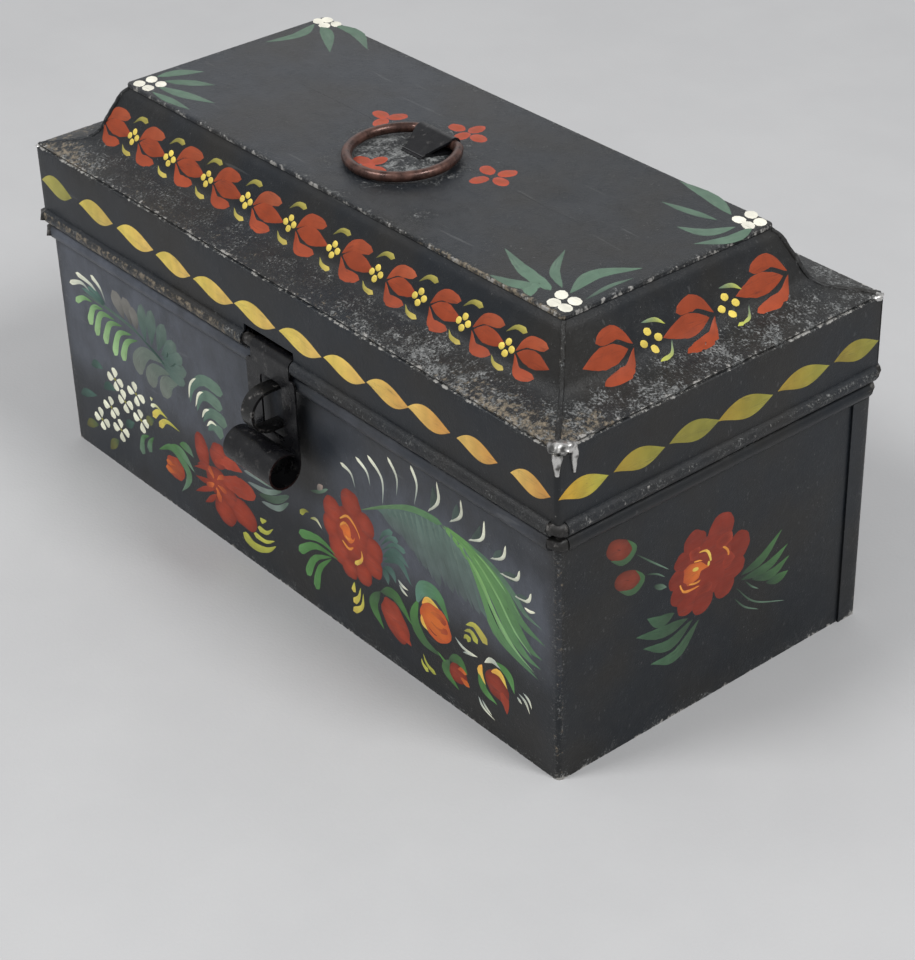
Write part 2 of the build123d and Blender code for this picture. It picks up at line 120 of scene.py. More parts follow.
def wander(x, y, z, scale, seed=0):
    """Smooth noise, about -0.7 to 0.7, with features about scale millimetres apart."""
    return noise.noise(Vector((x / scale + seed * 7.13, y / scale + seed * 3.31, z / scale + seed * 5.77)))


def spread(low, high, step):
    """Evenly spaced values from low to high, about step apart."""
    count = max(1, round((high - low) / step))
    return [low + (high - low) * k / count for k in range(count + 1)]


class Mesh:
    """Collects the points and faces of one piece, with a material number for each face."""

    def __init__(self):
        self.points = []
        self.faces = []
        self.skins = []
        self.colours = {}
        self.grain = {}

    def add(self, points, faces, skin=0):
        first = len(self.points)
        self.points += [Vector(p) for p in points]
        self.faces += [[first + k for k in face] for face in faces]
        self.skins += [skin] * len(faces) if isinstance(skin, int) else skin
        return first

    def add_marks(self, data, marks):
        """Writes how strongly each mark, such as dust, lies at each point."""
        for mark, rule in marks.items():
            values = [rule(point) for point in self.points]
            data.attributes.new(mark, "FLOAT", "POINT").data.foreach_set("value", values)

    def add_paint(self, data):
        """Writes the colour of each painted point, and where it lies along and across its stroke."""
        numbers = range(len(self.points))
        paint = data.attributes.new("paint", "FLOAT_COLOR", "POINT")
        grain = data.attributes.new("grain", "FLOAT_VECTOR", "POINT")
        paint.data.foreach_set("color", [part for k in numbers for part in self.colours[k]])
        grain.data.foreach_set("vector", [part for k in numbers for part in self.grain[k]])

    def make(self, name, body, materials, slot, replaces=(), marks=None, flat=30):
        """Makes the piece, in metres. Edges that bend more than flat degrees stay sharp."""
        data = bpy.data.meshes.new(name)
        data.from_pydata([p * MM for p in self.points], [], self.faces)
        data.validate()
        for material in materials:
            data.materials.append(material)
        data.polygons.foreach_set("material_index", self.skins)
        self.add_marks(data, marks or {})
        if self.colours:
            self.add_paint(data)
        piece = bpy.data.objects.new(name, data)
        bpy.context.scene.collection.objects.link(piece)
        data.shade_smooth()
        data.set_sharp_from_angle(angle=math.radians(flat))
        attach(piece, body)
        if replaces:
            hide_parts(*replaces)
        return piece


# ---- Bent sheets ------------------------------------------------------------------------------
def rounded(station, half, radius):
    """A point on a rounded rectangle and its outward normal.

    A station is (side, along, angle): along runs -1..1 on the straight of a side, and angle, in
    degrees, runs 0..90 round the corner after that side.
    """
    side, along, angle = station
    half_along, half_out = facing(side, half)
    if angle is None:
        normal = Vector((0, -1))
        point = Vector((along * (half_along - radius), -half_out))
    else:
        turn = math.radians(angle)
        normal = Vector((math.sin(turn), -math.cos(turn)))
        point = Vector((half_along - radius, radius - half_out)) + radius * normal
    turn = Matrix.Rotation(side * math.pi / 2, 2)
    return turn @ point, turn @ normal


def straight(side, low, high, step, half, radius=CORNER_R, also=()):
    """Stations along a side between two places, in millimetres along it."""
    half_along = facing(side, half)[0]
    places = sorted(set(spread(low, high, step)) | {a for a in also if low < a < high})
    return [(side, a / (half_along - radius), None) for a in places]


def corner(side):
    """Stations round the corner after a side."""
    return [(side, None, a) for a in (15, 30, 45, 60, 75)]


def shell_points(stations, rows, half, warp):
    """The points of a bent sheet's outside and inside, row by row at each station."""
    outside = []
    inside = []
    for station in stations:
        for out, z, normal_out, normal_up in rows:
            radius = max(CORNER_R + out, 0.05)
            flat_point, flat_normal = rounded(station, (half[0] + out, half[1] + out), radius)
            point = Vector((flat_point.x, flat_point.y, z))
            normal = Vector((flat_normal.x * normal_out, flat_normal.y * normal_out, normal_up))
            point += normal * warp(point)
            outside.append(point)
            inside.append(point - normal * SHEET)
    return outside, inside


def shell(stations, rows, half, warp, closed=False, keep=None):
    """A sheet bent round the box: points, faces and skins, 0 for its outside and 1 for its inside.

    rows are (out, z, normal out, normal up): an offset from the outline half, a height, and the
    direction that the outside faces there. keep says which cells are left, by their middle point.
    """
    outside, inside = shell_points(stations, rows, half, warp)
    height = len(rows)
    length = len(stations)
    count = len(outside)
    faces = []
    skins = []
    edges = {}
    for i in range(length if closed else length - 1):
        for j in range(height - 1):
            a = i * height + j
            b = (i + 1) % length * height + j
            ring = [a, b, b + 1, a + 1]
            middle = sum((outside[k] for k in ring), Vector()) / 4
            if keep and not keep(middle):
                continue
            faces += [ring, [count + k for k in reversed(ring)]]
            skins += [0, 1]
            edges.update({edge: True for edge in zip(ring, ring[1:] + ring[:1])})
    for start, end in edges:
        if (end, start) not in edges:
            faces.append([end, start, count + start, count + end])
            skins.append(0)
    return outside + inside, faces, skins


def used_only(points, faces):
    """Drops points that no face uses."""
    used = sorted({k for face in faces for k in face})
    new = {k: n for n, k in enumerate(used)}
    return [points[k] for k in used], [[new[k] for k in face] for face in faces]


def add_shell(mesh, *args, **settings):
    points, faces, skins = shell(*args, **settings)
    points, faces = used_only(points, faces)
    mesh.add(points, faces, skins)


def bead_section(centre, along, angles, seed):
    """One section of a rolled rim: its points round the outside, then back round the inside."""
    swell = 0.07 * wander(along, seed, 0, 9, seed)
    swell += 0.03 * wander(along, seed, 5, 2.5, seed)
    outer = []
    inner = []
    for k, degrees in enumerate(angles):
        at_lip = k in (0, len(angles) - 1)
        lip = 4 * wander(along, k // 20, 0, 12, seed + 5) if at_lip else 0
        angle = math.radians(degrees + lip)
        dent = 0.05 * wander(along, degrees / 8, 0, 5, seed + 7)
        across = Vector((0, -math.cos(angle), math.sin(angle)))
        outer.append(centre + across * (ROLL_R + swell + dent))
        inner.append(centre + across * (ROLL_R - SHEET + swell + dent))
    return outer + inner[::-1]


def bead_faces(sections, across):
    """Faces and skins of a rolled rim, with across points round each section's outside."""
    ring = 2 * across
    faces = []
    skins = []
    for i in range(sections - 1):
        for k in range(ring):
            a = i * ring + k
            b = i * ring + (k + 1) % ring
            faces.append([b, a, a + ring, b + ring])
            skins.append(0 if k < across else 1)
    last = (sections - 1) * ring
    for k in range(across - 1):
        faces.append([k, k + 1, ring - 2 - k, ring - 1 - k])
        faces.append([last + k + 1, last + k, last + ring - 1 - k, last + ring - 2 - k])
        skins += [0, 0]
    return faces, skins


def bead(mesh, side, half, z, seam, start, end, seed):
    """Tin rolled over the rim wire between two places along a side, uneven as hand work is."""
    half_out = facing(side, half)[1]
    turn = turned(side)
    angles = spread(seam[1], seam[0] + 360, 12)
    places = spread(start, end, 2.2)
    points = []
    for along in places:
        rise = 0.09 * wander(along, seed, 0, 30, seed + 3)
        centre = Vector((along, -half_out, z + rise))
        points += [turn @ point for point in bead_section(centre, along, angles, seed)]
    mesh.add(points, *bead_faces(len(places), len(angles)))


# ---- The surfaces, with their dents -------------------------------------------------------------
def from_corner(point, half):
    """How far a point is from the nearest upright corner."""
    return min(Vector((abs(point[0]) - half[0], abs(point[1]) - half[1])).length, 60)


def body_warp(point):
    """How far a body wall stands out from flat."""
    x, y, z = point
    still = smooth(from_corner(point, BODY) / 22) * smooth(min(z, WALL_TOP - z) / 9)
    bow = 0.5 * wander(x, y, z, 48, 1) + 0.09 * wander(x, y, z, 13, 2)
    if y > BODY[1] - 2:
        bow = -abs(bow)
    return still * bow


def lid_warp(point):
    """How far the lid's upright band stands out from flat."""
    x, y, z = point
    still = smooth(from_corner(point, LID) / 18) * smooth((SKIRT_TOP + 1 - z) / 5)
    return still * (0.42 * wander(x, y, z, 40, 4) + 0.08 * wander(x, y, z, 11, 5))


def from_top_edge(x, y):
    """How far in from the flat top's edge a place is."""
    return min(PANEL_HALF[0] - abs(x), PANEL_HALF[1] - abs(y))


def top_warp(x, y):
    """How far the flat top stands up from flat, with the shallow dimple to the right of the ring."""
    edge = from_top_edge(x, y)
    ring = math.hypot(x, y + 9)
    still = smooth(edge / 10) * smooth((ring - 17) / 14)
    wave = 0.55 * wander(x, y, 0, 46, 6) + 0.10 * wander(x, y, 0, 14, 7)
    dimple = -0.45 * math.exp(-((x - 42) ** 2 + (y - 5.5) ** 2) / 30)
    return still * wave + dimple


def round_corners(points, radii):
    """A line of points with its inner corners rounded."""
    line = [Vector(points[0])]
    for before, here, after, radius in zip(points, points[1:], points[2:], radii):
        here = Vector(here)
        back = (Vector(before) - here).normalized()
        on = (Vector(after) - here).normalized()
        half_angle = back.angle(on) / 2
        reach = radius / math.tan(half_angle)
        centre = here + (back + on).normalized() * radius / math.sin(half_angle)
        first = here + back * reach - centre
        last = here + on * reach - centre
        swing = first.angle_signed(last)
        line += [centre + Matrix.Rotation(-swing * k / 8, 2) @ first for k in range(9)]
    return line + [Vector(points[-1])]


SHELF_Z = SKIRT_TOP + 0.05 + SHEET       # upper face of the shelf at its edge
COVE_CORNERS = [                         # out from the flat top's edge, and height
    (-0.65, TOP_Z - 0.55),               # head, tucked under the top's fold
    (-0.65, 102.5),
    (0.9, 101.0),
    (6.45, 88.9),                        # foot of the slope, where it sweeps out to the shelf
    (COVE_SPREAD - 0.55, SHELF_Z),
]
COVE_LINE = round_corners(COVE_CORNERS, [0.2, 1.5, 6.0])
COVE_STEPS = [0.0]
for before, after in zip(COVE_LINE, COVE_LINE[1:]):
    COVE_STEPS.append(COVE_STEPS[-1] + (after - before).length)
COVE_LENGTH = COVE_STEPS[-1]


def cove_profile(s):
    """The cove's section at a distance down it from its head: out, height and normal."""
    s = max(0.0, min(COVE_LENGTH - 1e-6, s))
    k = max(i for i, step in enumerate(COVE_STEPS[:-1]) if step <= s)
    a, b = COVE_LINE[k], COVE_LINE[k + 1]
    along = (b - a).normalized()
    point = a.lerp(b, (s - COVE_STEPS[k]) / (COVE_STEPS[k + 1] - COVE_STEPS[k]))
    return point, Vector((-along.y, along.x))


def cove_warp(side, along, s, half_along):
    """Dents and crust of the cove, none at its mitres, its head or its outer edge."""
    still = smooth((half_along - abs(along)) / 6) * smooth(s / 6)
    wave = 0.4 * wander(along, s, side, 26, 8) + 0.12 * wander(along, s, side, 9, 9)
    shelf = smooth((s - 15) / 3) * smooth((COVE_LENGTH - s) / 1.5)
    crust = 0.22 * abs(wander(along, s, side, 3.0, 10)) + 0.10 * abs(wander(along, s, side, 1.3, 11))
    edge = smooth((COVE_LENGTH - s) / 4)
    return still * (wave * edge + shelf * crust)


def on_cove(side, along, s, height):
    """A point on a side of the cove; along runs left to right seen from outside."""
    (out, z), (normal_out, normal_up) = cove_profile(s)
    half_along, half_out = facing(side, PANEL_HALF)
    height += cove_warp(side, along, s, half_along + out)
    place = Vector((along, -(half_out + out + normal_out * height), z + normal_up * height))
    return turned(side) @ place


def on_wall(side, along, z, height, half, warp):
    """A point on an upright wall."""
    half_out = facing(side, half)[1]
    turn = turned(side)
    flat = turn @ Vector((along, -half_out, z))
    return turn @ Vector((along, -(half_out + warp(flat) + height), z))


# Surfaces to paint on: a runs right, b up (on the flat top, back) and height out from the tin.
def on_body(side):
    return lambda a, b, height: on_wall(side, a, b, height, BODY, body_warp)


def on_skirt(side):
    return lambda a, b, height: on_wall(side, a, b, height, LID, lid_warp)


def on_side_of_cove(side):
    return lambda a, b, height: on_cove(side, a, -b, height)


def on_top(a, b, height):
    return Vector((a, b, TOP_Z + top_warp(a, b) + height))


# ---- Materials --------------------------------------------------------------------------------
class Shader:
    """A material's node tree, with short calls for the nodes that the finishes share."""

    def __init__(self, name):
        self.material = bpy.data.materials.new(name)
        self.material.use_nodes = True
        self.tree = self.material.node_tree
        self.surface = self.tree.nodes["Principled BSDF"]

    def node(self, kind, **settings):
        made = self.tree.nodes.new(kind)
        for key, value in settings.items():
            setattr(made, key, value)
        return made

    def plug(self, value, socket):
        if isinstance(value, bpy.types.NodeSocket):
            self.tree.links.new(value, socket)
        elif value is not None:
            socket.default_value = value

    def place(self):
        return self.node("ShaderNodeTexCoord").outputs["Object"]

    def noise(self, size, detail=3.0, rough=0.5, vector=None, stretch=None):
        """Noise with features about size millimetres apart."""
        made = self.node("ShaderNodeTexNoise")
        where = vector or self.place()
        if stretch:
            scaled = self.node("ShaderNodeMapping")
            self.plug(where, scaled.inputs["Vector"])
            scaled.inputs["Scale"].default_value = stretch
            where = scaled.outputs[0]
        self.plug(where, made.inputs["Vector"])
        made.inputs["Scale"].default_value = 1 / (size * MM)
        made.inputs["Detail"].default_value = detail
        made.inputs["Roughness"].default_value = rough
        return made.outputs[0]

    def cells(self, size, feature="F1"):
        made = self.node("ShaderNodeTexVoronoi", feature=feature)
        self.plug(self.place(), made.inputs["Vector"])
        made.inputs["Scale"].default_value = 1 / (size * MM)
        return made.outputs["Distance"]

    def mark(self, name):
        return self.node("ShaderNodeAttribute", attribute_name=name).outputs["Fac"]

    def step(self, value, low, high, low_out=0.0, high_out=1.0):
        """Maps low..high to low_out..high_out and holds the ends."""
        made = self.node("ShaderNodeMapRange", interpolation_type="SMOOTHSTEP")
        self.plug(value, made.inputs["Value"])
        limits = {"From Min": low, "From Max": high, "To Min": low_out, "To Max": high_out}
        for key, number in limits.items():
            self.plug(number, made.inputs[key])
        return made.outputs[0]

    def math(self, operation, a, b=None):
        made = self.node("ShaderNodeMath", operation=operation)
        self.plug(a, made.inputs[0])
        self.plug(b, made.inputs[1])
        return made.outputs[0]

    def times(self, a, b):
        return self.math("MULTIPLY", a, b)

    def plus(self, a, b):
        return self.math("ADD", a, b)

    def blend(self, share, a, b, mode="MIX"):
        made = self.node("ShaderNodeMix", data_type="RGBA", blend_type=mode)
        self.plug(share, made.inputs[0])
        for value, socket in ((a, made.inputs[6]), (b, made.inputs[7])):
            self.plug((*value, 1) if isinstance(value, tuple) else value, socket)
        return made.outputs[2]

    def bump(self, height, depth, below=None):
        """Relief of depth millimetres from a height of 0..1."""
        made = self.node("ShaderNodeBump")
        self.plug(height, made.inputs["Height"])
        made.inputs["Strength"].default_value = 1.0
        made.inputs["Distance"].default_value = depth * MM
        if below is not None:
            self.plug(below, made.inputs["Normal"])
        return made.outputs[0]

    def finish(self, colour, roughness, normal=None, metallic=None, **constants):
        self.plug(colour, self.surface.inputs["Base Color"])
        self.plug(roughness, self.surface.inputs["Roughness"])
        self.plug(metallic, self.surface.inputs["Metallic"])
        if normal is not None:
            self.plug(normal, self.surface.inputs["Normal"])
        for key, value in constants.items():
            self.surface.inputs[key.replace("_", " ")].default_value = value
        return self.material


BLACK = (0.0060, 0.0085, 0.0120)         # japan varnish
BROWN_BLACK = (0.0120, 0.0110, 0.0095)
DUST = (0.27, 0.275, 0.27)
DIM_DUST = (0.075, 0.078, 0.078)
EARTH = (0.25, 0.205, 0.145)             # brown dirt settled in corners
HAZE_AND_SHEEN = (0.094, 0.104, 0.128)             # bluish bloom of old varnish, also laid as painted sheen
BARE = (0.33, 0.32, 0.30)                # rubbed tin
DULL_GLEAM = 0.30                        # specular level of old varnish and paint


def spotted(s, colour, top, strength, spots, mark, limits):
    """A colour with spots of a top colour, and where the spots are.

    limits are the spot level that shows where the mark is 0, how far a mark of 1 lowers it, and
    the softness of a spot's edge.
    """
    level, lowered, softness = limits
    reach = s.math("SUBTRACT", level, s.times(mark, lowered))
    cover = s.step(spots, reach, s.plus(reach, softness))
    return s.blend(s.times(cover, strength), colour, top), cover


def japan_relief(s, grains, thick, dusty, rubbed, crust):
    """Fine orange peel and long waves in the varnish, and the crust of dust on it."""
    relief = s.bump(s.noise(0.55, 4, 0.65), 0.02)
    relief = s.bump(s.noise(18, 2, 0.4), 0.05, relief)
    relief = s.bump(s.times(grains, s.math("MINIMUM", thick, 1.0)), 0.30 * crust, relief)
    return s.bump(s.math("MAXIMUM", dusty, rubbed), 0.05 * crust, relief)


def japanned(name, gloss=0.32, crust=0.55):
    """Old black japanning: hairline scratches, dust, brown dirt and rubbed edges.

    The marks dust, earth, rub and haze_and_painted_light on a piece say where each lies; a piece without
    them is clean apart from the fine speckle. The last lays the pale bluish bloom colour: real bloom on
    the front, painted sheen on the lid's top, and painted shade on the front where it is held back.
    """
    s = Shader(name)
    patches = s.noise(26, 3, 0.5)
    grains = s.noise(0.55, 5, 0.72)
    ground = s.blend(s.step(patches, 0.35, 0.7), BLACK, BROWN_BLACK)
    clouds = s.noise(7, 6, 0.65, stretch=(1, 1, 0.6))
    # haze_and_painted_light lays the bloom colour: real bloom, painted sheen on the top, and painted shade
    # where it is held back on the front
    bloom_and_light_share = s.times(s.mark("haze_and_painted_light"), s.step(clouds, 0.3, 0.7, 0.5, 1))
    ground = s.blend(bloom_and_light_share, ground, HAZE_AND_SHEEN)
    thick = s.times(s.mark("dust"), s.step(s.noise(4.5, 5, 0.6), 0.33, 0.68, 0.55, 1.25))
    reach = s.math("SUBTRACT", 0.70, s.times(thick, 0.30))
    dusty = s.step(grains, reach, s.plus(reach, 0.12))
    pale = s.blend(s.step(s.noise(1.2, 4, 0.7), 0.35, 0.7), DIM_DUST, DUST)
    colour = s.blend(s.math("MAXIMUM", s.times(dusty, 0.9), s.times(thick, 0.07)), ground, pale)
    crumbs = s.noise(1.3, 6, 0.72)
    colour, _ = spotted(s, colour, EARTH, 0.75, crumbs, s.mark("earth"), (0.78, 0.42, 0.16))
    wear = s.noise(1.5, 5, 0.7, stretch=(0.9, 0.9, 0.6))
    colour, rubbed = spotted(s, colour, BARE, 0.85, wear, s.mark("rub"), (0.84, 0.40, 0.09))
    scratches = s.step(s.noise(1.4, 2, 0.5, stretch=(0.06, 1.0, 0.5)), 0.70, 0.74, 0, 0.10)
    colour = s.blend(scratches, colour, DUST)
    roughness = s.plus(s.step(patches, 0.3, 0.75, gloss - 0.03, gloss + 0.04), s.times(dusty, 0.45))
    roughness = s.plus(roughness, s.times(bloom_and_light_share, 0.16))
    relief = japan_relief(s, grains, thick, dusty, rubbed, crust)
    return s.finish(colour, s.math("MINIMUM", roughness, 0.92), relief, Specular_IOR_Level=DULL_GLEAM)


def bare_tin():
    """The unpainted inside: grey tin with a yellowed bloom and spots of rust."""
    s = Shader("bare_tin_inside")
    bloom = s.noise(18, 5, 0.6)
    spots = s.step(s.noise(2.4, 5, 0.7), 0.62, 0.72)
    colour = s.blend(s.step(bloom, 0.35, 0.7), (0.36, 0.35, 0.33), (0.27, 0.235, 0.185))
    colour = s.blend(s.times(spots, 0.8), colour, (0.085, 0.045, 0.025))
    roughness = s.plus(s.step(bloom, 0.3, 0.8, 0.34, 0.52), s.times(spots, 0.3))
    metal = s.step(spots, 0.0, 1.0, 0.85, 0.1)
    relief = s.bump(s.noise(0.8, 3, 0.6), 0.02, s.bump(spots, 0.03))
    return s.finish(colour, roughness, relief, metal)


def worn_metal(name, dark, light, wear, gloss=0.38, metal=0.35):
    """Black paint rubbed through to grey metal: the more wear, the more metal."""
    s = Shader(name)
    patches = s.step(s.noise(2.2, 5, 0.65), 0.42, 0.75, 0.0, wear)
    rub = s.step(s.plus(patches, s.times(s.noise(0.5, 3, 0.6), 0.35)), 0.30, 0.65)
    colour = s.blend(rub, dark, light)
    colour = s.blend(s.step(s.noise(0.9, 5, 0.7), 0.66, 0.74, 0, 0.25), colour, DUST)
    roughness = s.step(s.noise(3, 4, 0.6), 0.3, 0.75, gloss, gloss + 0.2)
    relief = s.bump(s.noise(0.6, 4, 0.6), 0.035, s.bump(s.noise(4, 3, 0.5), 0.08))
    return s.finish(colour, roughness, relief, s.times(rub, metal), Specular_IOR_Level=DULL_GLEAM)


def brown_wire():
    """The ring: browned iron under glossy old varnish, with pinkish copper lights."""
    s = Shader("browned_ring_wire")
    patches = s.noise(2.6, 4, 0.6)
    colour = s.blend(s.step(patches, 0.35, 0.7), (0.045, 0.022, 0.017), (0.12, 0.060, 0.046))
    colour = s.blend(s.step(s.noise(0.8, 4, 0.7), 0.6, 0.72, 0, 0.5), colour, (0.22, 0.13, 0.105))
    roughness = s.step(patches, 0.3, 0.8, 0.24, 0.46)
    relief = s.bump(s.noise(0.7, 3, 0.6), 0.05)
    return s.finish(colour, roughness, relief, 0.55)


def solder():
    """Bright lead solder, lumpy, dark in its hollows and browned with dirt in places."""
    s = Shader("lead_solder")
    lumps = s.noise(2.6, 2, 0.45)
    colour = s.blend(s.step(lumps, 0.32, 0.52), (0.10, 0.098, 0.094), (0.62, 0.61, 0.59))
    colour = s.blend(s.step(s.noise(2.0, 3, 0.5), 0.60, 0.75, 0, 0.4), colour, EARTH)
    roughness = s.step(lumps, 0.3, 0.7, 0.42, 0.24)
    return s.finish(colour, roughness, s.bump(lumps, 0.10), 0.9)


def oil_paint():
    """Brushed oil paint. The piece's paint mark gives the colour, its grain mark the brush's way."""
    s = Shader("oil_paint")
    colour = s.node("ShaderNodeAttribute", attribute_name="paint").outputs["Color"]
    along = s.node("ShaderNodeAttribute", attribute_name="grain").outputs["Vector"]
    bristles = s.noise(0.34, 3, 0.6, vector=along, stretch=(0.10, 1.0, 1.0))
    loaded = s.noise(1.6, 3, 0.6, vector=along, stretch=(0.3, 1.0, 1.0))
    thin = s.blend(0.62, colour, BLACK)
    rich = s.blend(0.25, colour, (1.0, 0.95, 0.85), "SOFT_LIGHT")
    shade = s.blend(s.step(bristles, 0.30, 0.62), thin, rich)
    shade = s.blend(s.step(loaded, 0.2, 0.55, 0.25, 1.0), shade, colour)
    chips = s.step(s.noise(0.8, 6, 0.75), 0.67, 0.71, 0.0, 0.8)
    shade = s.blend(chips, shade, BROWN_BLACK)
    craze = s.step(s.cells(2.6, "DISTANCE_TO_EDGE"), 0.0, 0.03, 1.0, 0.0)
    shade = s.blend(s.times(craze, 0.10), shade, BROWN_BLACK)
    relief = s.bump(bristles, 0.035, s.bump(chips, 0.05))
    return s.finish(shade, s.step(loaded, 0.3, 0.7, 0.42, 0.55), relief, Specular_IOR_Level=DULL_GLEAM)


def pale_floor():
    """Pale grey backdrop cloth, its weave too fine to see as threads."""
    s = Shader("pale_floor")
    mottle = s.noise(60, 4, 0.6)
    colour = s.blend(s.step(mottle, 0.3, 0.7), (0.425, 0.425, 0.428), (0.445, 0.445, 0.447))
    weave = s.noise(0.9, 2, 0.5)
    return s.finish(colour, 0.95, s.bump(weave, 0.05), Specular_IOR_Level=0.15)


JAPAN = japanned("japanned_black")
JAPAN_TOP = japanned("japanned_black_lid", gloss=0.36, crust=1.0)
TIN = bare_tin()
GREY_METAL = (0.20, 0.19, 0.18)
FITTING = worn_metal(
    "worn_black_fitting", (0.005, 0.005, 0.006), (0.12, 0.115, 0.11), 0.30, gloss=0.22)
# rubbed bare edges of the fittings, pale enough to be painted highlights too
FITTING_EDGE_AND_HIGHLIGHT = worn_metal(
    "worn_fitting_edge_and_highlight", (0.03, 0.03, 0.03), (0.34, 0.33, 0.31), 0.9, gloss=0.30, metal=0.6)
HOOP_METAL = worn_metal("rubbed_black_hoop", (0.006, 0.006, 0.006), GREY_METAL, 0.38, gloss=0.22)
WIRE_METAL = worn_metal("dark_rim_wire", (0.016, 0.015, 0.014), GREY_METAL, 0.35)
RING_WIRE = brown_wire()
SOLDER = solder()
PAINT = oil_paint()


# ---- Where dust, dirt and wear lie --------------------------------------------------------------
def near(value, target, reach):
    """1 at the target, easing to 0 at reach from it."""
    return smooth(1 - abs(value - target) / reach)


def body_haze_and_painted_shade(point):
    """A bluish bloom over the front, clear along its foot. It is held back as painted shade at the top
    right, in the eave's shadow, and beside the hasp, where the front reflects the hasp's dark plate.
    """
    x, y, z = point
    if y > -BODY[1] + 1:
        return 0.0
    right = smooth((x - 10) / 30)
    # painted shade: the bloom thins at the top right, in the eave's shadow
    band = smooth((z - 20) / 12) * (1 - 0.55 * right * smooth((z - 47) / 8))
    # painted shade: no bloom beside the hasp, where the front reflects its dark plate
    clear = near(x, 7, 32) * smooth((z - 26) / 10)
    foot = 0.16 * smooth((-20 - x) / 40)
    edge = near(abs(x), BODY[0], 5)
    return (0.02 + foot + (0.72 + 0.10 * right) * band * (1 - clear)) * (1 - 0.7 * edge)


def body_dust(point):
    low = 0.35 * smooth((4 - point.z) / 4)
    return 0.26 + low + 0.26 * near(from_corner(point, BODY), 0.8, 2.6)


def body_earth(point):
    return 0.55 * near(from_corner(point, BODY), 0.8, 3.0)


def body_rub(point):
    edge = near(from_corner(point, BODY), 0, 3.2)
    return 0.5 * edge + 0.85 * near(point.z, 0, 1.2) + 0.4 * near(point.z, WALL_TOP, 1.4)


def on_body_rim(point):
    """True on the body's rolled rim, below the lid's."""
    return point.z < WALL_TOP + 3.5


def rim_rub_and_painted_shade(point):
    """The lid's rim is rubbed, most at its ends; the body's, sheltered under it, hardly, which also keeps
    it dark as painted shade under the lid's rim.
    """
    if on_body_rim(point):
        return 0.22
    return 0.60 if abs(point.x) > BODY[0] - 2 else 0.42


def rim_dust_and_painted_shade(point):
    # the body's rim gets little dust, so it stays dark as painted shade under the lid's rim
    return 0.22 if on_body_rim(point) else 0.64 + 0.24 * wander(point.x, point.y, 0, 11, 71)


def rim_earth(point):
    x, y, z = point
    lid = smooth(z - WALL_TOP - 3)
    return 0.10 + lid * (0.15 + 0.50 * smooth(-y - BODY[1] + 3) * smooth((20 - x) / 40))


def band_rub(point):
    x, y, z = point
    along_top = (0.85 + 0.3 * wander(x, y, 0, 14, 70)) * near(z, SKIRT_TOP, 0.9)
    at_corners = 0.62 * near(from_corner(point, LID), 0, 1.8)
    return along_top + at_corners + 0.25 * near(z, SKIRT_BOTTOM, 1.0)


def band_dust(point):
    return 0.17 + 0.35 * near(point.z, SKIRT_TOP, 1.2) + 0.2 * smooth((72 - point.z) / 3)


def cove_dust(point):
    """Thick on the shelf, thickest toward the right, and thin up the slope."""
    x = point.x
    shelf = smooth((91.5 - point.z) / 4)
    end = smooth((x - PANEL_HALF[0]) / 3)
    right = 0.30 * smooth((x + 10) / 80) * (1 - 0.5 * end)
    return 0.24 + 0.08 * end + shelf * (0.38 + right + 0.20 * near(x, -80, 25))


def cove_earth(point):
    """Brown dirt on the front shelf, near both its corners."""
    x, y, z = point
    front_shelf = smooth(-(y + PANEL_HALF[1]) / 2) * smooth((90 - z) / 3)
    return front_shelf * (0.50 + 0.40 * near(x, 84, 34) + 0.35 * near(x, -88, 22))


def cove_rub(point):
    return 0.75 * near(point.z, SHELF_Z, 0.45) + 0.68 * near(point.z, TOP_Z - 0.6, 0.9) + 0.12


def top_dust(point):
    """Sparse, but thick in the ring's hollow, where it scratches, and along the edge."""
    x, y = point.xy
    from_ring = math.hypot(x + 2, y + 7)
    hollow = 0.75 * smooth((13.5 - from_ring) / 4)
    halo = 0.35 * near(from_ring, 17, 3)
    edge = 0.3 * smooth((3 - from_top_edge(x, y)) / 3)
    patch = 0.45 * near(math.hypot(x - 26, y + 24), 0, 6)
    return 0.33 + hollow + halo + edge + patch


def top_painted_sheen(point):
    """Painted sheen in the pale bloom colour, stronger to the left, where the top catches more light."""
    return 0.12 * smooth((20 - point.x) / 40)


def top_earth(point):
    """Brown wear along the front fold, toward the right."""
    fold = smooth((1.6 - PANEL_HALF[1] - point.y) / 1.6)
    return 0.05 + 0.85 * fold * smooth((point.x - 10) / 40)


def top_rub(point):
    return 0.70 * smooth((0.9 - from_top_edge(point.x, point.y)) / 0.9) + 0.12


def even(share):
    """A mark of the same strength all over a piece."""
    return lambda point: share


def split_rule(wall_rule, rim_rule, low, high):
    """One rule for the wall and another for its rolled rim, which lies between two heights."""
    return lambda point: rim_rule(point) if low < point.z < high else wall_rule(point)


def wall_marks():
    """The body's marks: its roll is above its walls."""
    heights = (WALL_TOP + 0.31, math.inf)
    return {
        "haze_and_painted_light": body_haze_and_painted_shade,
        "dust": split_rule(body_dust, rim_dust_and_painted_shade, *heights),
        "earth": split_rule(body_earth, rim_earth, *heights),
        "rub": split_rule(body_rub, rim_rub_and_painted_shade, *heights),
    }


def band_marks():
    """The lid band's marks: its roll is below it."""
    heights = (-math.inf, SKIRT_BOTTOM - 0.31)
    return {
        "dust": split_rule(band_dust, rim_dust_and_painted_shade, *heights),
        "earth": split_rule(even(0.15), rim_earth, *heights),
        "rub": split_rule(band_rub, rim_rub_and_painted_shade, *heights),
        "haze_and_painted_light": even(0.03),
    }


# ---- The body's sheets --------------------------------------------------------------------------
def wall_rows(low, high):
    return [(0, z, 1, 0) for z in spread(low, high, 2.0)]


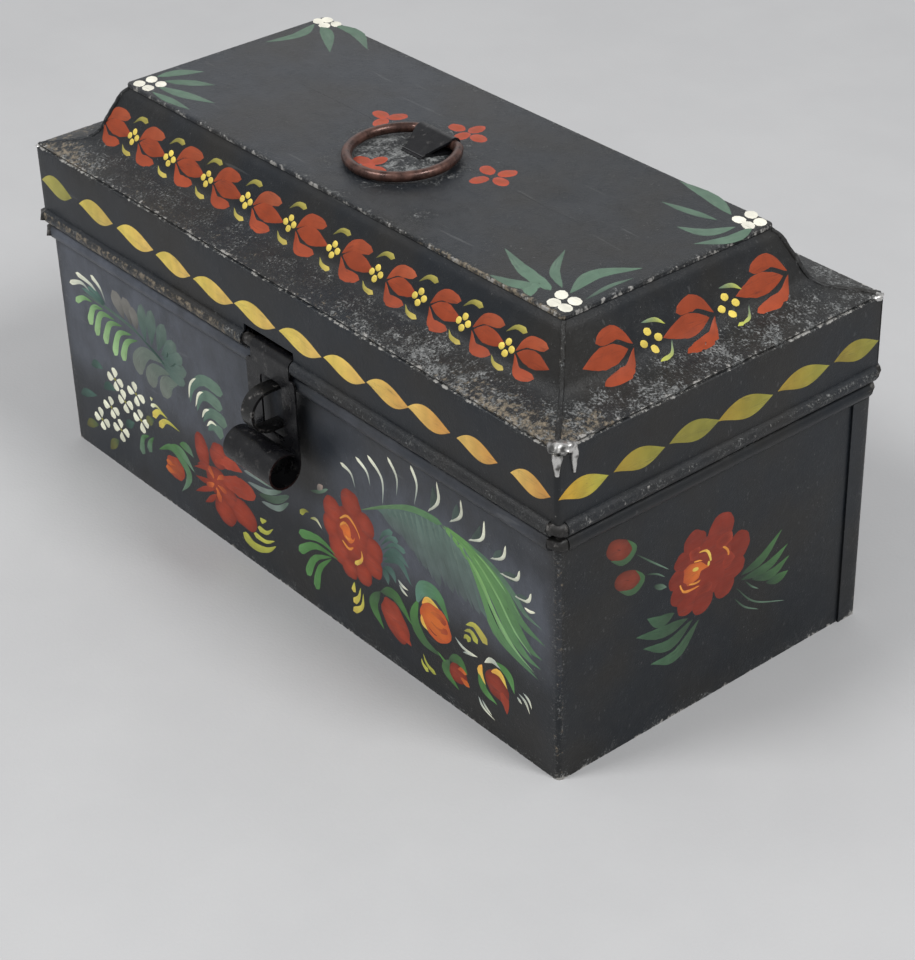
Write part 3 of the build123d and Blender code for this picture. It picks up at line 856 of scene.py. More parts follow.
def make_body_front_and_ends():
    """One sheet bent round three sides, its top rolled over the wire."""
    front = BODY[0] - CORNER_R
    end = BODY[1] - CORNER_R
    rear = end - 0.05
    stations = straight(LEFT, -rear, end, 2.4, BODY) + corner(LEFT)
    stations += straight(FRONT, -front, front, 2.4, BODY) + corner(FRONT)
    stations += straight(RIGHT, -end, rear, 2.4, BODY)
    mesh = Mesh()
    add_shell(mesh, stations, wall_rows(0, WALL_TOP + 0.3), BODY, body_warp)
    for side in (LEFT, FRONT, RIGHT):
        reach = facing(side, BODY_RIM)[0] - BEND_CLEAR
        bead(mesh, side, BODY_RIM, BODY_RIM_Z, BODY_SEAM, -reach, reach, 10 + side)
    return mesh.make("front_and_end_walls", "box", [JAPAN, TIN], "japanned_tin",
                     ["body_front_and_ends"], wall_marks())


def back_warp(point):
    """The back sheet's dents. Its laps lie flat on the ends."""
    return body_warp(point) if abs(point.x) < BODY[0] - 2 else 0


def make_body_back():
    """The back sheet, lapped onto the ends."""
    half = (BODY[0] + SHEET + 0.05, BODY[1])
    back = half[0] - CORNER_R
    end = half[1] - CORNER_R
    lap = LAP - CORNER_R
    stations = straight(RIGHT, end - lap, end, 1.6, half) + corner(RIGHT)
    stations += straight(BACK, -back, back, 2.4, half) + corner(BACK)
    stations += straight(LEFT, -end, lap - end, 1.6, half)
    mesh = Mesh()
    add_shell(mesh, stations, wall_rows(0, WALL_TOP - 0.4), half, back_warp)
    reach = BODY_RIM[0] - BEND_CLEAR
    bead(mesh, BACK, BODY_RIM, BODY_RIM_Z, BODY_SEAM, -reach, reach, 12)
    return mesh.make("back_wall", "box", [JAPAN, TIN], "japanned_tin", ["body_back"], wall_marks())


# ---- The lid's sheets ---------------------------------------------------------------------------
def folded_edge(top, radius):
    """Rows of a sheet's bend from upright to flat."""
    rows = []
    for degrees in (30, 60, 90):
        turn = math.radians(degrees)
        out = radius * (math.cos(turn) - 1)
        rows.append((out, top - radius + radius * math.sin(turn), math.cos(turn), math.sin(turn)))
    return rows


def band_rows():
    """Up the band, round its top edge and a little way in under the shelf."""
    edge = 0.5
    rows = [(0, z, 1, 0) for z in spread(SKIRT_BOTTOM - 0.3, NOTCH_TOP, 1.2)]
    rows += [(0, z, 1, 0) for z in spread(NOTCH_TOP, SKIRT_TOP - edge, 1.7)[1:]]
    return rows + folded_edge(SKIRT_TOP, edge) + [(-1.1, SKIRT_TOP, 0, 1)]


def outside_notches(middle):
    """False for the cells of the band that its notches take away."""
    if middle.z > NOTCH_TOP:
        return True
    if middle.y < -LID[1] + 2:
        return not NOTCH[0] < middle.x < NOTCH[1]
    if middle.y > LID[1] - 2:
        return not any(low < middle.x < high for low, high in HINGE_NOTCHES)
    return True


def make_lid_band_front_and_ends():
    """The band bent round three sides, notched for the hoop and rolled over the wire below."""
    front = LID[0] - CORNER_R
    end = LID[1] - CORNER_R
    stations = straight(LEFT, -end, end, 2.0, LID) + corner(LEFT)
    stations += straight(FRONT, -front, front, 2.0, LID, also=NOTCH) + corner(FRONT)
    stations += straight(RIGHT, -end, end, 2.0, LID)
    mesh = Mesh()
    add_shell(mesh, stations, band_rows(), LID, lid_warp, keep=outside_notches)
    for side in (LEFT, RIGHT):
        reach = LID_RIM[1] - BEND_CLEAR
        bead(mesh, side, LID_RIM, LID_RIM_Z, LID_SEAM, -reach, reach, 20 + side)
    reach = LID_RIM[0] - BEND_CLEAR
    bead(mesh, FRONT, LID_RIM, LID_RIM_Z, LID_SEAM, -reach, NOTCH[0], 24)
    bead(mesh, FRONT, LID_RIM, LID_RIM_Z, LID_SEAM, NOTCH[1], reach, 25)
    return mesh.make("lid_band_front_and_ends", "lid", [JAPAN_TOP, TIN], "japanned_tin",
                     ["lid_skirt_front_and_ends"], band_marks())


def make_lid_band_back():
    """The band's back, notched for the hinge straps. Its places run from right to left."""
    back = LID[0] - CORNER_R
    edges = sorted(-edge for notch in HINGE_NOTCHES for edge in notch)
    stations = corner(RIGHT) + straight(BACK, -back, back, 2.0, LID, also=edges) + corner(BACK)
    mesh = Mesh()
    add_shell(mesh, stations, band_rows(), LID, lid_warp, keep=outside_notches)
    reach = LID_RIM[0] - BEND_CLEAR
    places = [-reach] + edges + [reach]
    for k, (start, end) in enumerate(zip(places[::2], places[1::2])):
        bead(mesh, BACK, LID_RIM, LID_RIM_Z, LID_SEAM, start, end, 26 + k)
    return mesh.make("lid_band_back", "lid", [JAPAN_TOP, TIN], "japanned_tin",
                     ["lid_skirt_back"], band_marks())


def slab_faces(length, height):
    """Faces and skins of a slab: a grid of outer points, the same grid of inner ones, and a rim."""
    count = length * height
    faces = []
    skins = []
    for i in range(length - 1):
        for j in range(height - 1):
            a = i * height + j
            ring = [a, a + 1, a + height + 1, a + height]
            faces += [ring, [count + k for k in reversed(ring)]]
            skins += [0, 1]
    rim = [i * height for i in range(length)]
    rim += [(length - 1) * height + j for j in range(1, height)]
    rim += [i * height + height - 1 for i in range(length - 2, -1, -1)]
    rim += list(range(height - 2, 0, -1))
    for a, b in zip(rim, rim[1:] + rim[:1]):
        faces.append([a, b, count + b, count + a])
        skins.append(0)
    return faces, skins


def make_cove(side, word):
    """One curved side of the hipped lid."""
    half_along = facing(side, PANEL_HALF)[0]
    steps = spread(0, COVE_LENGTH, 0.75)
    shares = spread(-1, 1, 1.6 / half_along)
    outside = []
    inside = []
    for share in shares:
        for s in steps:
            along = share * (half_along + cove_profile(s)[0].x - 0.08)
            outside.append(on_cove(side, along, s, 0))
            inside.append(on_cove(side, along, s, -SHEET))
    mesh = Mesh()
    mesh.add(outside + inside, *slab_faces(len(shares), len(steps)))
    marks = {"dust": cove_dust, "earth": cove_earth, "rub": cove_rub, "haze_and_painted_light": even(0.0)}
    return mesh.make(f"lid_cove_{word}_sheet", "lid", [JAPAN_TOP, TIN], "japanned_tin",
                     [f"lid_cove_{word}"], marks)


def make_top():
    """The flat top: rings of points from its folded edge in to the middle."""
    half = PANEL_HALF
    stations = []
    for side in (FRONT, RIGHT, BACK, LEFT):
        reach = facing(side, half)[0] - CORNER_R
        stations += straight(side, -reach, reach, 2.0, half) + corner(side)
    edge = 0.45
    rows = [(0, PANEL[0].z, 1, 0), (0, TOP_Z - edge, 1, 0)] + folded_edge(TOP_Z, edge)
    rows += [(-out, TOP_Z, 0, 1) for out in spread(1.4, half[1] - 0.02, 1.9)]
    points, faces, skins = shell(stations, rows, half, lambda point: 0, closed=True)
    for point in points:
        if point.z > TOP_Z - SHEET - 0.1:
            point.z += top_warp(point.x, point.y)
    mesh = Mesh()
    mesh.add(points, faces, skins)
    marks = {"dust": top_dust, "rub": top_rub, "haze_and_painted_light": top_painted_sheen, "earth": top_earth}
    return mesh.make("lid_flat_top", "lid", [JAPAN_TOP, TIN], "japanned_tin",
                     ["lid_top_panel"], marks)


# ---- Solder -------------------------------------------------------------------------------------
def tube_ring(point, ahead, radius, sides):
    """A lumpy ring of points round a run of solder, square to the way ahead."""
    upright = abs(ahead.normalized().z) > 0.95
    across = ahead.cross(Vector((1, 0, 0)) if upright else Vector((0, 0, 1))).normalized()
    up = across.cross(ahead).normalized()
    ring = []
    for n in range(sides):
        angle = 2 * math.pi * n / sides
        swell = 1 + 0.35 * wander(*point, 1.6, n)
        ring.append(point + (across * math.cos(angle) + up * math.sin(angle)) * radius * swell)
    return ring


def tube(mesh, path, radii):
    """A lumpy round run of solder through points, closed at both ends."""
    sides = 10
    points = []
    for k, (point, radius) in enumerate(zip(path, radii)):
        ahead = path[min(k + 1, len(path) - 1)] - path[max(k - 1, 0)]
        points += tube_ring(point, ahead, radius, sides)
    base = len(points) - sides
    start = len(points)
    end = start + 1
    points += [path[0], path[-1]]
    faces = []
    for k in range(0, base, sides):
        for n in range(sides):
            a = k + n
            b = k + (n + 1) % sides
            faces.append([b, a, a + sides, b + sides])
    for n in range(sides):
        faces.append([n, (n + 1) % sides, start])
        faces.append([base + (n + 1) % sides, base + n, end])
    mesh.add(points, faces)


def lump_points(centre, size, seed, rings, sides):
    """Rings of points down an uneven ball, then its top and its foot."""
    points = []
    for j in range(1, rings):
        down = math.pi * j / rings
        for n in range(sides):
            turn = 2 * math.pi * n / sides
            flat = math.sin(down)
            ray = Vector((flat * math.cos(turn), flat * math.sin(turn), math.cos(down)))
            swell = 1 + 0.5 * wander(*ray, 0.8, seed)
            stretched = Vector((ray.x * size[0], ray.y * size[1], ray.z * size[2]))
            points.append(Vector(centre) + stretched * swell)
    pole = Vector((0, 0, size[2]))
    return points + [Vector(centre) + pole, Vector(centre) - pole]


def lump(mesh, centre, size, seed):
    """A blob of solder: a ball squeezed to size and made uneven."""
    rings = 7
    sides = 12
    points = lump_points(centre, size, seed, rings, sides)
    top = len(points) - 2
    foot = len(points) - 1
    faces = []
    for j in range(rings - 2):
        for n in range(sides):
            a = j * sides + n
            b = j * sides + (n + 1) % sides
            faces.append([a, a + sides, b + sides, b])
    last = (rings - 2) * sides
    for n in range(sides):
        faces.append([top, n, (n + 1) % sides])
        faces.append([foot, last + (n + 1) % sides, last + n])
    mesh.add(points, faces)


HIPS = {FRONT: "front_right", RIGHT: "back_right", BACK: "back_left", LEFT: "front_left"}


def make_hip_seams():
    """Solder run up the four mitres of the cove, painted black with the rest and since rubbed."""
    for side, word in HIPS.items():
        half_along, half_out = facing(side, PANEL_HALF)
        path = []
        radii = []
        for s in spread(0.8, COVE_LENGTH - 0.3, 0.7):
            out, z = cove_profile(s)[0]
            path.append(turned(side) @ Vector((half_along + out, -(half_out + out), z - 0.35)))
            radii.append(0.62 + 0.22 * wander(s, side, 0, 3.5, 30))
        mesh = Mesh()
        tube(mesh, path, radii)
        marks = {"dust": even(0.55), "rub": even(0.55), "earth": even(0.1), "haze_and_painted_light": even(0.0)}
        mesh.make(f"hip_seam_{word}", "lid", [JAPAN_TOP], "japanned_tin", (), marks, flat=60)


def make_rim_corners():
    """The knobs where the rolled rims meet round the bare wire at each corner."""
    size = (3.3, 3.3, 1.9)
    inset = 1.3              # from the wire's corner
    rims = (("lid", "lid", LID_RIM, LID_RIM_Z), ("body", "box", BODY_RIM, BODY_RIM_Z))
    for word, body, (x, y), z in rims:
        mesh = Mesh()
        for n, (right, back) in enumerate(((1, -1), (1, 1), (-1, 1), (-1, -1))):
            lump(mesh, ((x - inset) * right, (y - inset) * back, z), size, 6 + n)
        mesh.make(f"{word}_rim_corners", body, [WIRE_METAL], "iron_wire", (), None, flat=60)


def drip(mesh, x, y, z, length, radii):
    """A run of solder straight down from a place."""
    path = [Vector((x, y, z - drop)) for drop in spread(0.2, length, 1.0)]
    tube(mesh, path, radii)


def make_corner_solder():
    """Lumps and drips of solder where the eave's corners were closed, most at the front right."""
    x, y = LID
    z = SKIRT_TOP
    mesh = Mesh()
    lump(mesh, (x - 1.4, -(y - 1.4), z + 0.3), (2.5, 2.2, 1.3), 1)
    lump(mesh, (x - 0.5, -(y - 3.8), z - 0.1), (1.2, 2.2, 1.1), 2)
    drip(mesh, x - 0.1, -(y - 0.1), z, 5.4, [1.0, 1.1, 0.9, 0.75, 0.6, 0.4])
    drip(mesh, x + 0.1, -(y - 4.6), z, 6.2, [0.7, 0.95, 0.9, 0.7, 0.6, 0.5, 0.3])
    lump(mesh, (x - 1.4, y - 1.8, z + 0.1), (1.9, 2.0, 0.9), 3)
    lump(mesh, (-(x - 0.9), -(y - 1.0), z - 0.2), (1.0, 1.0, 0.6), 4)
    lump(mesh, (-(x - 1.0), y - 1.0, z - 0.2), (1.1, 0.9, 0.6), 5)
    mesh.make("corner_solder", "lid", [SOLDER], "japanned_tin", (), None, flat=60)


# ---- The fittings that stay as the frame has them ---------------------------------------------
def soften(piece, width):
    """Rounds a fitting's cut edges a little and rubs them bare, pale enough to stand also as painted
    highlights along them.
    """
    bevel = piece.modifiers.new("worn_edges", "BEVEL")
    bevel.width = width * MM
    bevel.segments = 3
    bevel.limit_method = "ANGLE"
    bevel.angle_limit = math.radians(40)
    bevel.material = len(piece.data.materials) - 1      # the last material is the rubbed edge's, also painted highlight


FINISHES = {                 # each carried-over node's material and softened edge width
    "hasp": (FITTING, 0.16),
    "hoop": (HOOP_METAL, 0.18),
    "ring_strap": (FITTING, 0.14),
    "carrying_ring": (RING_WIRE, 0),
    "body_rim_wire": (WIRE_METAL, 0),
    "lid_rim_wire": (WIRE_METAL, 0),
    "hinge_strap_left": (FITTING, 0.12),
    "hinge_strap_right": (FITTING, 0.12),
    "hinge_rivets": (WIRE_METAL, 0),
    "body_bottom": (TIN, 0.1),
    "hoop_backing_plate": (TIN, 0.1),
}


def finish_fittings():
    """Gives each carried-over node its material and softened edges."""
    for node, (material, width) in FINISHES.items():
        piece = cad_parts[node]
        piece.data.materials.clear()
        piece.data.materials.append(material)
        if material in (FITTING, HOOP_METAL):
            piece.data.materials.append(FITTING_EDGE_AND_HIGHLIGHT)
        if width:
            soften(piece, width)


# ---- Brush strokes ------------------------------------------------------------------------------
RED = (0.34, 0.046, 0.020)
DARK_RED = (0.195, 0.024, 0.012)
TULIP_RED = (0.27, 0.043, 0.012)
BUD_RED = (0.27, 0.036, 0.017)
BUD_SHADE = (0.17, 0.022, 0.012)
ORANGE = (0.62, 0.15, 0.024)
AMBER = (0.76, 0.34, 0.055)
YELLOW = (0.70, 0.54, 0.10)
LEMON = (0.46, 0.47, 0.075)
OCHRE = (0.72, 0.47, 0.12)
OLIVE_OCHRE = (0.25, 0.235, 0.05)
GREEN = (0.065, 0.19, 0.045)
BRIGHT_GREEN = (0.095, 0.25, 0.075)
PALE_GREEN = (0.33, 0.52, 0.24)
GREY_GREEN = (0.125, 0.20, 0.145)
DIM_GREEN = (0.045, 0.085, 0.045)
TEAL = (0.11, 0.22, 0.18)
DEEP_TEAL = (0.025, 0.060, 0.048)
IVORY = (0.84, 0.84, 0.66)
PALE_GREY = (0.30, 0.36, 0.34)
DUSK = (0.17, 0.165, 0.15)


def spline(points, count):
    """A smooth line through a few points, as count even steps with the direction at each."""
    line = [Vector(p) for p in points]
    line = [2 * line[0] - line[1]] + line + [2 * line[-1] - line[-2]]
    result = []
    for k in range(count + 1):
        place = k / count * (len(line) - 3)
        n = min(int(place), len(line) - 4)
        t = place - n
        a, b, c, d = line[n:n + 4]
        bend = 2 * a - 5 * b + 4 * c - d
        turn = 3 * b - a - 3 * c + d
        point = 0.5 * (2 * b + (c - a) * t + bend * t ** 2 + turn * t ** 3)
        way = (c - a) + 2 * bend * t + 3 * turn * t ** 2
        result.append((point, way.normalized()))
    return result


def round_end(t, start):
    """A width of 1 up to start, then a round end at 1."""
    return math.sqrt(max(0.0, 1 - (max(0.0, t - start) / (1 - start)) ** 2))


WIDTHS = {
    "comma": lambda t: t ** 0.75 * round_end(t, 0.84),          # a fine tail and a round head
    "drop": lambda t: min(1.0, t / 0.6) ** 0.8 * round_end(t, 0.62),
    "leaf": lambda t: math.sin(math.pi * t ** 0.9),
    "dash": lambda t: math.sin(math.pi * t) ** 0.5,
}
ACROSS = (-1.0, -0.55, 0.0, 0.55, 1.0)       # where a stroke's points lie across it
PAINT_THICKNESS = 0.055
PAINT_SUNK = 0.05            # the underside lies this far inside the sheet
LAYER = 0.0006               # how much higher each stroke lies than the one before


def mix_colour(a, b, share):
    return tuple(mix(x, y, share) for x, y in zip(a, b))


class Canvas:
    """Paint on one surface, gathered into one piece. Later strokes lie on earlier ones.

    A mirrored canvas turns left and right round.
    """

    def __init__(self, name, surface, body, mirrored=False):
        self.name = name
        self.surface = surface
        self.body = body
        self.flip = -1 if mirrored else 1
        self.mesh = Mesh()
        self.layer = 0.0
        self.count = 0

    def next_stroke(self):
        self.count += 1
        self.layer += LAYER

    def put(self, a, b, height, colour, grain):
        """One point of paint, its colour a little uneven."""
        n = len(self.mesh.points)
        self.mesh.points.append(self.surface(self.flip * a, b, height))
        tone = 1 + 0.20 * wander(a, b, self.count, 2.2, 40)
        tone += 0.16 * wander(self.count, 0, 0, 0.9, 41)
        self.mesh.colours[n] = (*(c * tone for c in colour), 1)
        self.mesh.grain[n] = (grain[0] * MM, grain[1] * MM, self.count * 0.37)
        return n

    def faces(self, faces):
        self.mesh.faces += [face[::self.flip] for face in faces]
        self.mesh.skins += [0] * len(faces)

    def ribbon(self, rows, tips):
        """Closes a stroke: rows of upper and lower points between two single end points."""
        made = []
        for (top, low), (next_top, next_low) in zip(rows, rows[1:]):
            for n in range(len(top) - 1):
                made.append([top[n], next_top[n], next_top[n + 1], top[n + 1]])
                made.append([low[n + 1], next_low[n + 1], next_low[n], low[n]])
        for tip, (top, low), way in ((tips[0], rows[0], 1), (tips[1], rows[-1], -1)):
            for n in range(len(top) - 1):
                made.append([tip, top[n], top[n + 1]][::way])
                made.append([tip, low[n + 1], low[n]][::way])
        self.faces(made)

    def row(self, place, across, shade, travelled):
        """One section of a stroke, crowned in the middle, reaching across to either side."""
        top = []
        low = []
        crown = PAINT_THICKNESS * min(1.0, 0.45 + across.length)
        for v in ACROSS:
            spot = place + across * v
            height = self.layer + crown * (1 - v ** 4) if abs(v) < 1 else 0.0
            grain = (travelled, v * across.length)
            top.append(self.put(*spot, height, shade, grain))
            if abs(v) < 1:
                low.append(self.put(*spot, -PAINT_SUNK, shade, grain))
        return top, [top[0]] + low + [top[-1]]

    def stroke(self, shape, width, colour, end_colour, thin, points):
        """A stroke from its tail to its head. thin lets the black show through at the tail."""
        self.next_stroke()
        length = sum((Vector(b) - Vector(a)).length for a, b in zip(points, points[1:]))
        steps = max(7, min(20, round(length / 0.9)))
        line = spline(points, steps)
        rows = []
        tips = []
        for k, (place, way) in enumerate(line):
            t = k / steps
            cover = mix(1 - thin, 1.0, smooth(t * 1.4))
            shade = mix_colour(BLACK, mix_colour(colour, end_colour, t), cover)
            if k in (0, steps):
                tips.append(self.put(*place, 0.0, shade, (t * length, 0)))
                continue
            half = max(0.07, 0.5 * width * WIDTHS[shape](t))
            half *= 1 + 0.10 * wander(t * length, self.count, 0, 1.4, 42)
            rows.append(self.row(place, Vector((-way.y, way.x)) * half, shade, t * length))
        self.ribbon(rows, tips)

    def strokes(self, shape, width, colour, end_colour, thin, *paths):
        for path in paths:
            self.stroke(shape, width, colour, end_colour, thin, path)

    def blob(self, centre, size, turn, colour, rim_colour=None, uneven=0.12, rise=1.0):
        """A dab or petal: an ellipse with an uneven outline, rim_colour at its edge."""
        rim_colour = rim_colour or colour
        self.next_stroke()
        around = max(10, min(26, round(sum(size) * 3)))
        spin = Matrix.Rotation(math.radians(turn), 2)

        def at(share, n, height):
            angle = 2 * math.pi * n / around
            ray = Vector((math.cos(angle), math.sin(angle)))
            wobble = 1 + uneven * wander(ray.x * 2, ray.y * 2, self.count, 1.3, 43)
            place = Vector(centre) + spin @ Vector((ray.x * size[0], ray.y * size[1])) * share * wobble
            return self.put(*place, height, mix_colour(colour, rim_colour, share ** 2), place)

        middle = self.put(*centre, self.layer + PAINT_THICKNESS * rise, colour, centre)
        bottom = self.put(*centre, -PAINT_SUNK, colour, centre)
        rings = []
        for share in (0.45, 0.8, 1.0):
            height = self.layer + PAINT_THICKNESS * rise * (1 - share ** 4) if share < 1 else 0.0
            rings.append([at(share, n, height) for n in range(around)])
        low = [at(0.7, n, -PAINT_SUNK) for n in range(around)]
        made = []
        for n in range(around):
            m = (n + 1) % around
            made.append([middle, rings[0][n], rings[0][m]])
            made.append([bottom, low[m], low[n]])
            for inner, outer in zip(rings, rings[1:]):
                made.append([inner[n], outer[n], outer[m], inner[m]])
            made.append([rings[-1][n], low[n], low[m], rings[-1][m]])
        self.faces(made)

    def dots(self, size, turn, colour, *centres):
        for centre in centres:
            self.blob(centre, size, turn + 25 * wander(*centre, 0, 5, 44), colour, rise=1.4)

    def finish(self):
        return self.mesh.make(self.name, self.body, [PAINT], "japanned_tin", flat=60)


# ---- The front ----------------------------------------------------------------------------------
def paint_feathers():
    """The plume of green crescents and the faded leaf beside it, at the front's upper left."""
    c = Canvas("front_left_feathers", on_body(FRONT), "box")
    c.strokes("drop", 5.0, DUSK, DUSK, 0.5, [(-66, 49), (-68, 52), (-70.6, 55.6)],
              [(-63, 48.5), (-64, 52), (-66, 55.4)], [(-60.5, 48), (-61.5, 51), (-63.6, 53.8)])
    c.strokes("drop", 4.2, (0.07, 0.13, 0.11), (0.105, 0.15, 0.125), 0.3,
              [(-57, 46), (-57.6, 51), (-57.4, 56.8)], [(-54.5, 46), (-54, 51), (-53, 56.8)],
              [(-52, 45.5), (-50, 50), (-47.8, 54.8)], [(-50.5, 45), (-47, 48), (-43.4, 51.2)],
              [(-50, 44.6), (-45.4, 46), (-41, 48.2)], [(-50.4, 43.6), (-45.4, 43.6), (-39.6, 44.6)],
              [(-51, 43), (-46, 41.6), (-40.6, 41)])
    c.strokes("drop", 5.4, (0.13, 0.18, 0.145), (0.165, 0.185, 0.16), 0.1,
              [(-49.6, 43), (-57, 42.8), (-61.4, 38.6), (-61.6, 34.6)],
              [(-46.6, 41), (-53.4, 39.6), (-56, 36.4), (-56, 33.2)],
              [(-44, 39.4), (-48.6, 37.6), (-51.6, 32.6)])
    c.strokes("dash", 1.0, DEEP_TEAL, DEEP_TEAL, 0.0, [(-58, 46.4), (-52, 44), (-47, 41.6)],
              [(-48, 49), (-47.4, 46.4), (-49, 44.6)], [(-43, 47), (-45.6, 44), (-49.4, 42.8)])
    c.strokes("dash", 0.9, GREY_GREEN, DEEP_TEAL, 0.3,
              [(-86, 48.6), (-74, 48.9), (-62, 47.6), (-55, 45)])
    c.strokes("comma", 2.2, BRIGHT_GREEN, PALE_GREEN, 0.35, [(-81, 47.8), (-85.7, 47.2), (-90.2, 44.4)])
    c.strokes("comma", 3.0, BRIGHT_GREEN, PALE_GREEN, 0.35, [(-76, 47.8), (-81, 46.2), (-84.2, 40)],
              [(-70.7, 46.8), (-77.6, 45.6), (-81.3, 37.9)],
              [(-67.4, 46.4), (-73.6, 44.4), (-77.3, 37.2)],
              [(-63.2, 45.6), (-69.6, 43.2), (-73.1, 35.4)], [(-60.7, 45), (-66.2, 42), (-69.2, 35.6)])
    c.strokes("dash", 1.6, TEAL, DEEP_TEAL, 0.2, [(-83, 51.4), (-79, 51.6), (-74.6, 49.6)],
              [(-86, 50), (-80, 50), (-75, 49)])
    c.strokes("comma", 1.7, PALE_GREY, IVORY, 0.35, [(-81.6, 50.4), (-86, 51.5), (-92.2, 49.1)],
              [(-76.2, 50.4), (-81, 52.9), (-88.4, 53.5)],
              [(-74.4, 50.4), (-76.6, 53.8), (-80.8, 55.8)])
    c.finish()


def paint_crescents():
    """Grey-green crescents edged with white, beside the hasp."""
    c = Canvas("front_crescents", on_body(FRONT), "box")
    for path in ([(-39.2, 36.2), (-37.6, 41.4), (-32.6, 45.4), (-24.2, 45.2)],
                 [(-36.6, 34.9), (-34.6, 39.4), (-31.2, 41.4), (-25, 40.6)],
                 [(-34.2, 32.8), (-32.4, 35.6), (-29.2, 37.2), (-23.6, 36.4)],
                 [(-32.4, 31.2), (-29.8, 33.4), (-25.6, 32.4)]):
        c.stroke("comma", 4.4, (0.09, 0.165, 0.13), (0.12, 0.19, 0.14), 0.0, path)
        c.stroke("leaf", 0.95, IVORY, IVORY, 0.0, [(a - 0.5, b + 1.0) for a, b in path[:3]])
    c.strokes("dash", 1.6, PALE_GREY, GREY_GREEN, 0.5, [(-18, 26.2), (-12, 27), (-5, 27.2)],
              [(-16.6, 23.6), (-8.6, 24.6), (-2, 27.8)], [(-11, 20.6), (-4.4, 21.8), (0.6, 25.8)])
    c.strokes("dash", 2.2, DIM_GREEN, GREY_GREEN, 0.3, [(-12, 22.2), (-5, 24), (1, 28)])
    c.finish()


def white_flower(canvas, x, z):
    """Four ivory petals round an olive dot."""
    for degrees in (90, 2, -88, 184):
        turn = math.radians(degrees + 14 * wander(x, z, degrees, 3, 45))
        reach = 3.5 + 0.6 * wander(x, z, turn, 2, 46)
        tip_x = x + reach * math.cos(turn)
        tip_z = z + 0.92 * reach * math.sin(turn)
        path = [(mix(x, tip_x, share), mix(z, tip_z, share)) for share in (0.16, 0.6, 1.08)]
        canvas.stroke("drop", 2.7, IVORY, IVORY, 0.0, path)
    canvas.blob((x, z), (0.5, 0.45), 0, OLIVE_OCHRE, rise=1.6)


def paint_white_flowers():
    """Seven small white flowers over dark leaves, with yellow commas and a red bud to their right."""
    c = Canvas("front_white_flowers", on_body(FRONT), "box")
    c.strokes("leaf", 2.6, DEEP_TEAL, (0.06, 0.125, 0.10), 0.2, [(-86, 27), (-83, 28.6), (-80, 28.4)],
              [(-81, 22), (-78, 24.2), (-74.6, 24)], [(-93.6, 14.8), (-90, 16.8), (-85, 18)],
              [(-72.2, 14.4), (-70, 16), (-67.4, 17.6)])
    c.strokes("leaf", 2.8, OLIVE_OCHRE, DIM_GREEN, 0.6, [(-92.4, 5.6), (-89.4, 7.6), (-86, 8.4)],
              [(-81.4, 3), (-79, 6), (-76.4, 8)], [(-61.2, 20.4), (-59.6, 21.8), (-57.4, 23)])
    flowers = ((-74.5, 27.6), (-64.9, 27.4), (-70.8, 22.4), (-63.9, 19.9),
               (-78.3, 17.4), (-74.7, 12), (-83.9, 11.2))
    for x, z in flowers:
        white_flower(c, x, z)
    c.strokes("comma", 1.4, LEMON, IVORY, 0.2, [(-52.9, 27.3), (-55.7, 28), (-58.3, 26.8)],
              [(-56.8, 29.6), (-58, 29)])
    c.strokes("comma", 2.3, LEMON, YELLOW, 0.2, [(-50.6, 26.3), (-54.4, 26.8), (-57.8, 23.8)],
              [(-45.5, 24.8), (-51.4, 25.2), (-55.2, 22)])
    c.strokes("comma", 2.8, GREEN, GREY_GREEN, 0.2, [(-60.7, 16.6), (-64.2, 14.2), (-65.3, 8.8)],
              [(-58.5, 17.2), (-60.6, 14.6), (-61.6, 11.2)])
    c.blob((-49.4, 12), (4.1, 3.4), 10, (0.36, 0.075, 0.025), RED, uneven=0.25)
    c.strokes("drop", 2.6, RED, ORANGE, 0.0, [(-47.6, 13), (-50.6, 12.6), (-53.6, 12.6)],
              [(-47.6, 11), (-50.6, 10.6), (-54.2, 10.4)])
    c.strokes("leaf", 2.8, GREEN, GREY_GREEN, 0.1,
              [(-56.8, 14.4), (-50, 17.8), (-43.6, 14), (-44.2, 10), (-47.6, 5.8)],
              [(-50.2, 19), (-45.4, 18.4), (-40.4, 15)], [(-46.4, 20.8), (-42.9, 21.2), (-40.2, 19.6)])
    c.finish()


def petals(canvas, colour, dark, *shapes):
    """Overlapping petals, each (x, y, half length, half width, turn)."""
    for x, y, long, wide, turn in shapes:
        canvas.blob((x, y), (long, wide), turn, colour, dark, uneven=0.16)


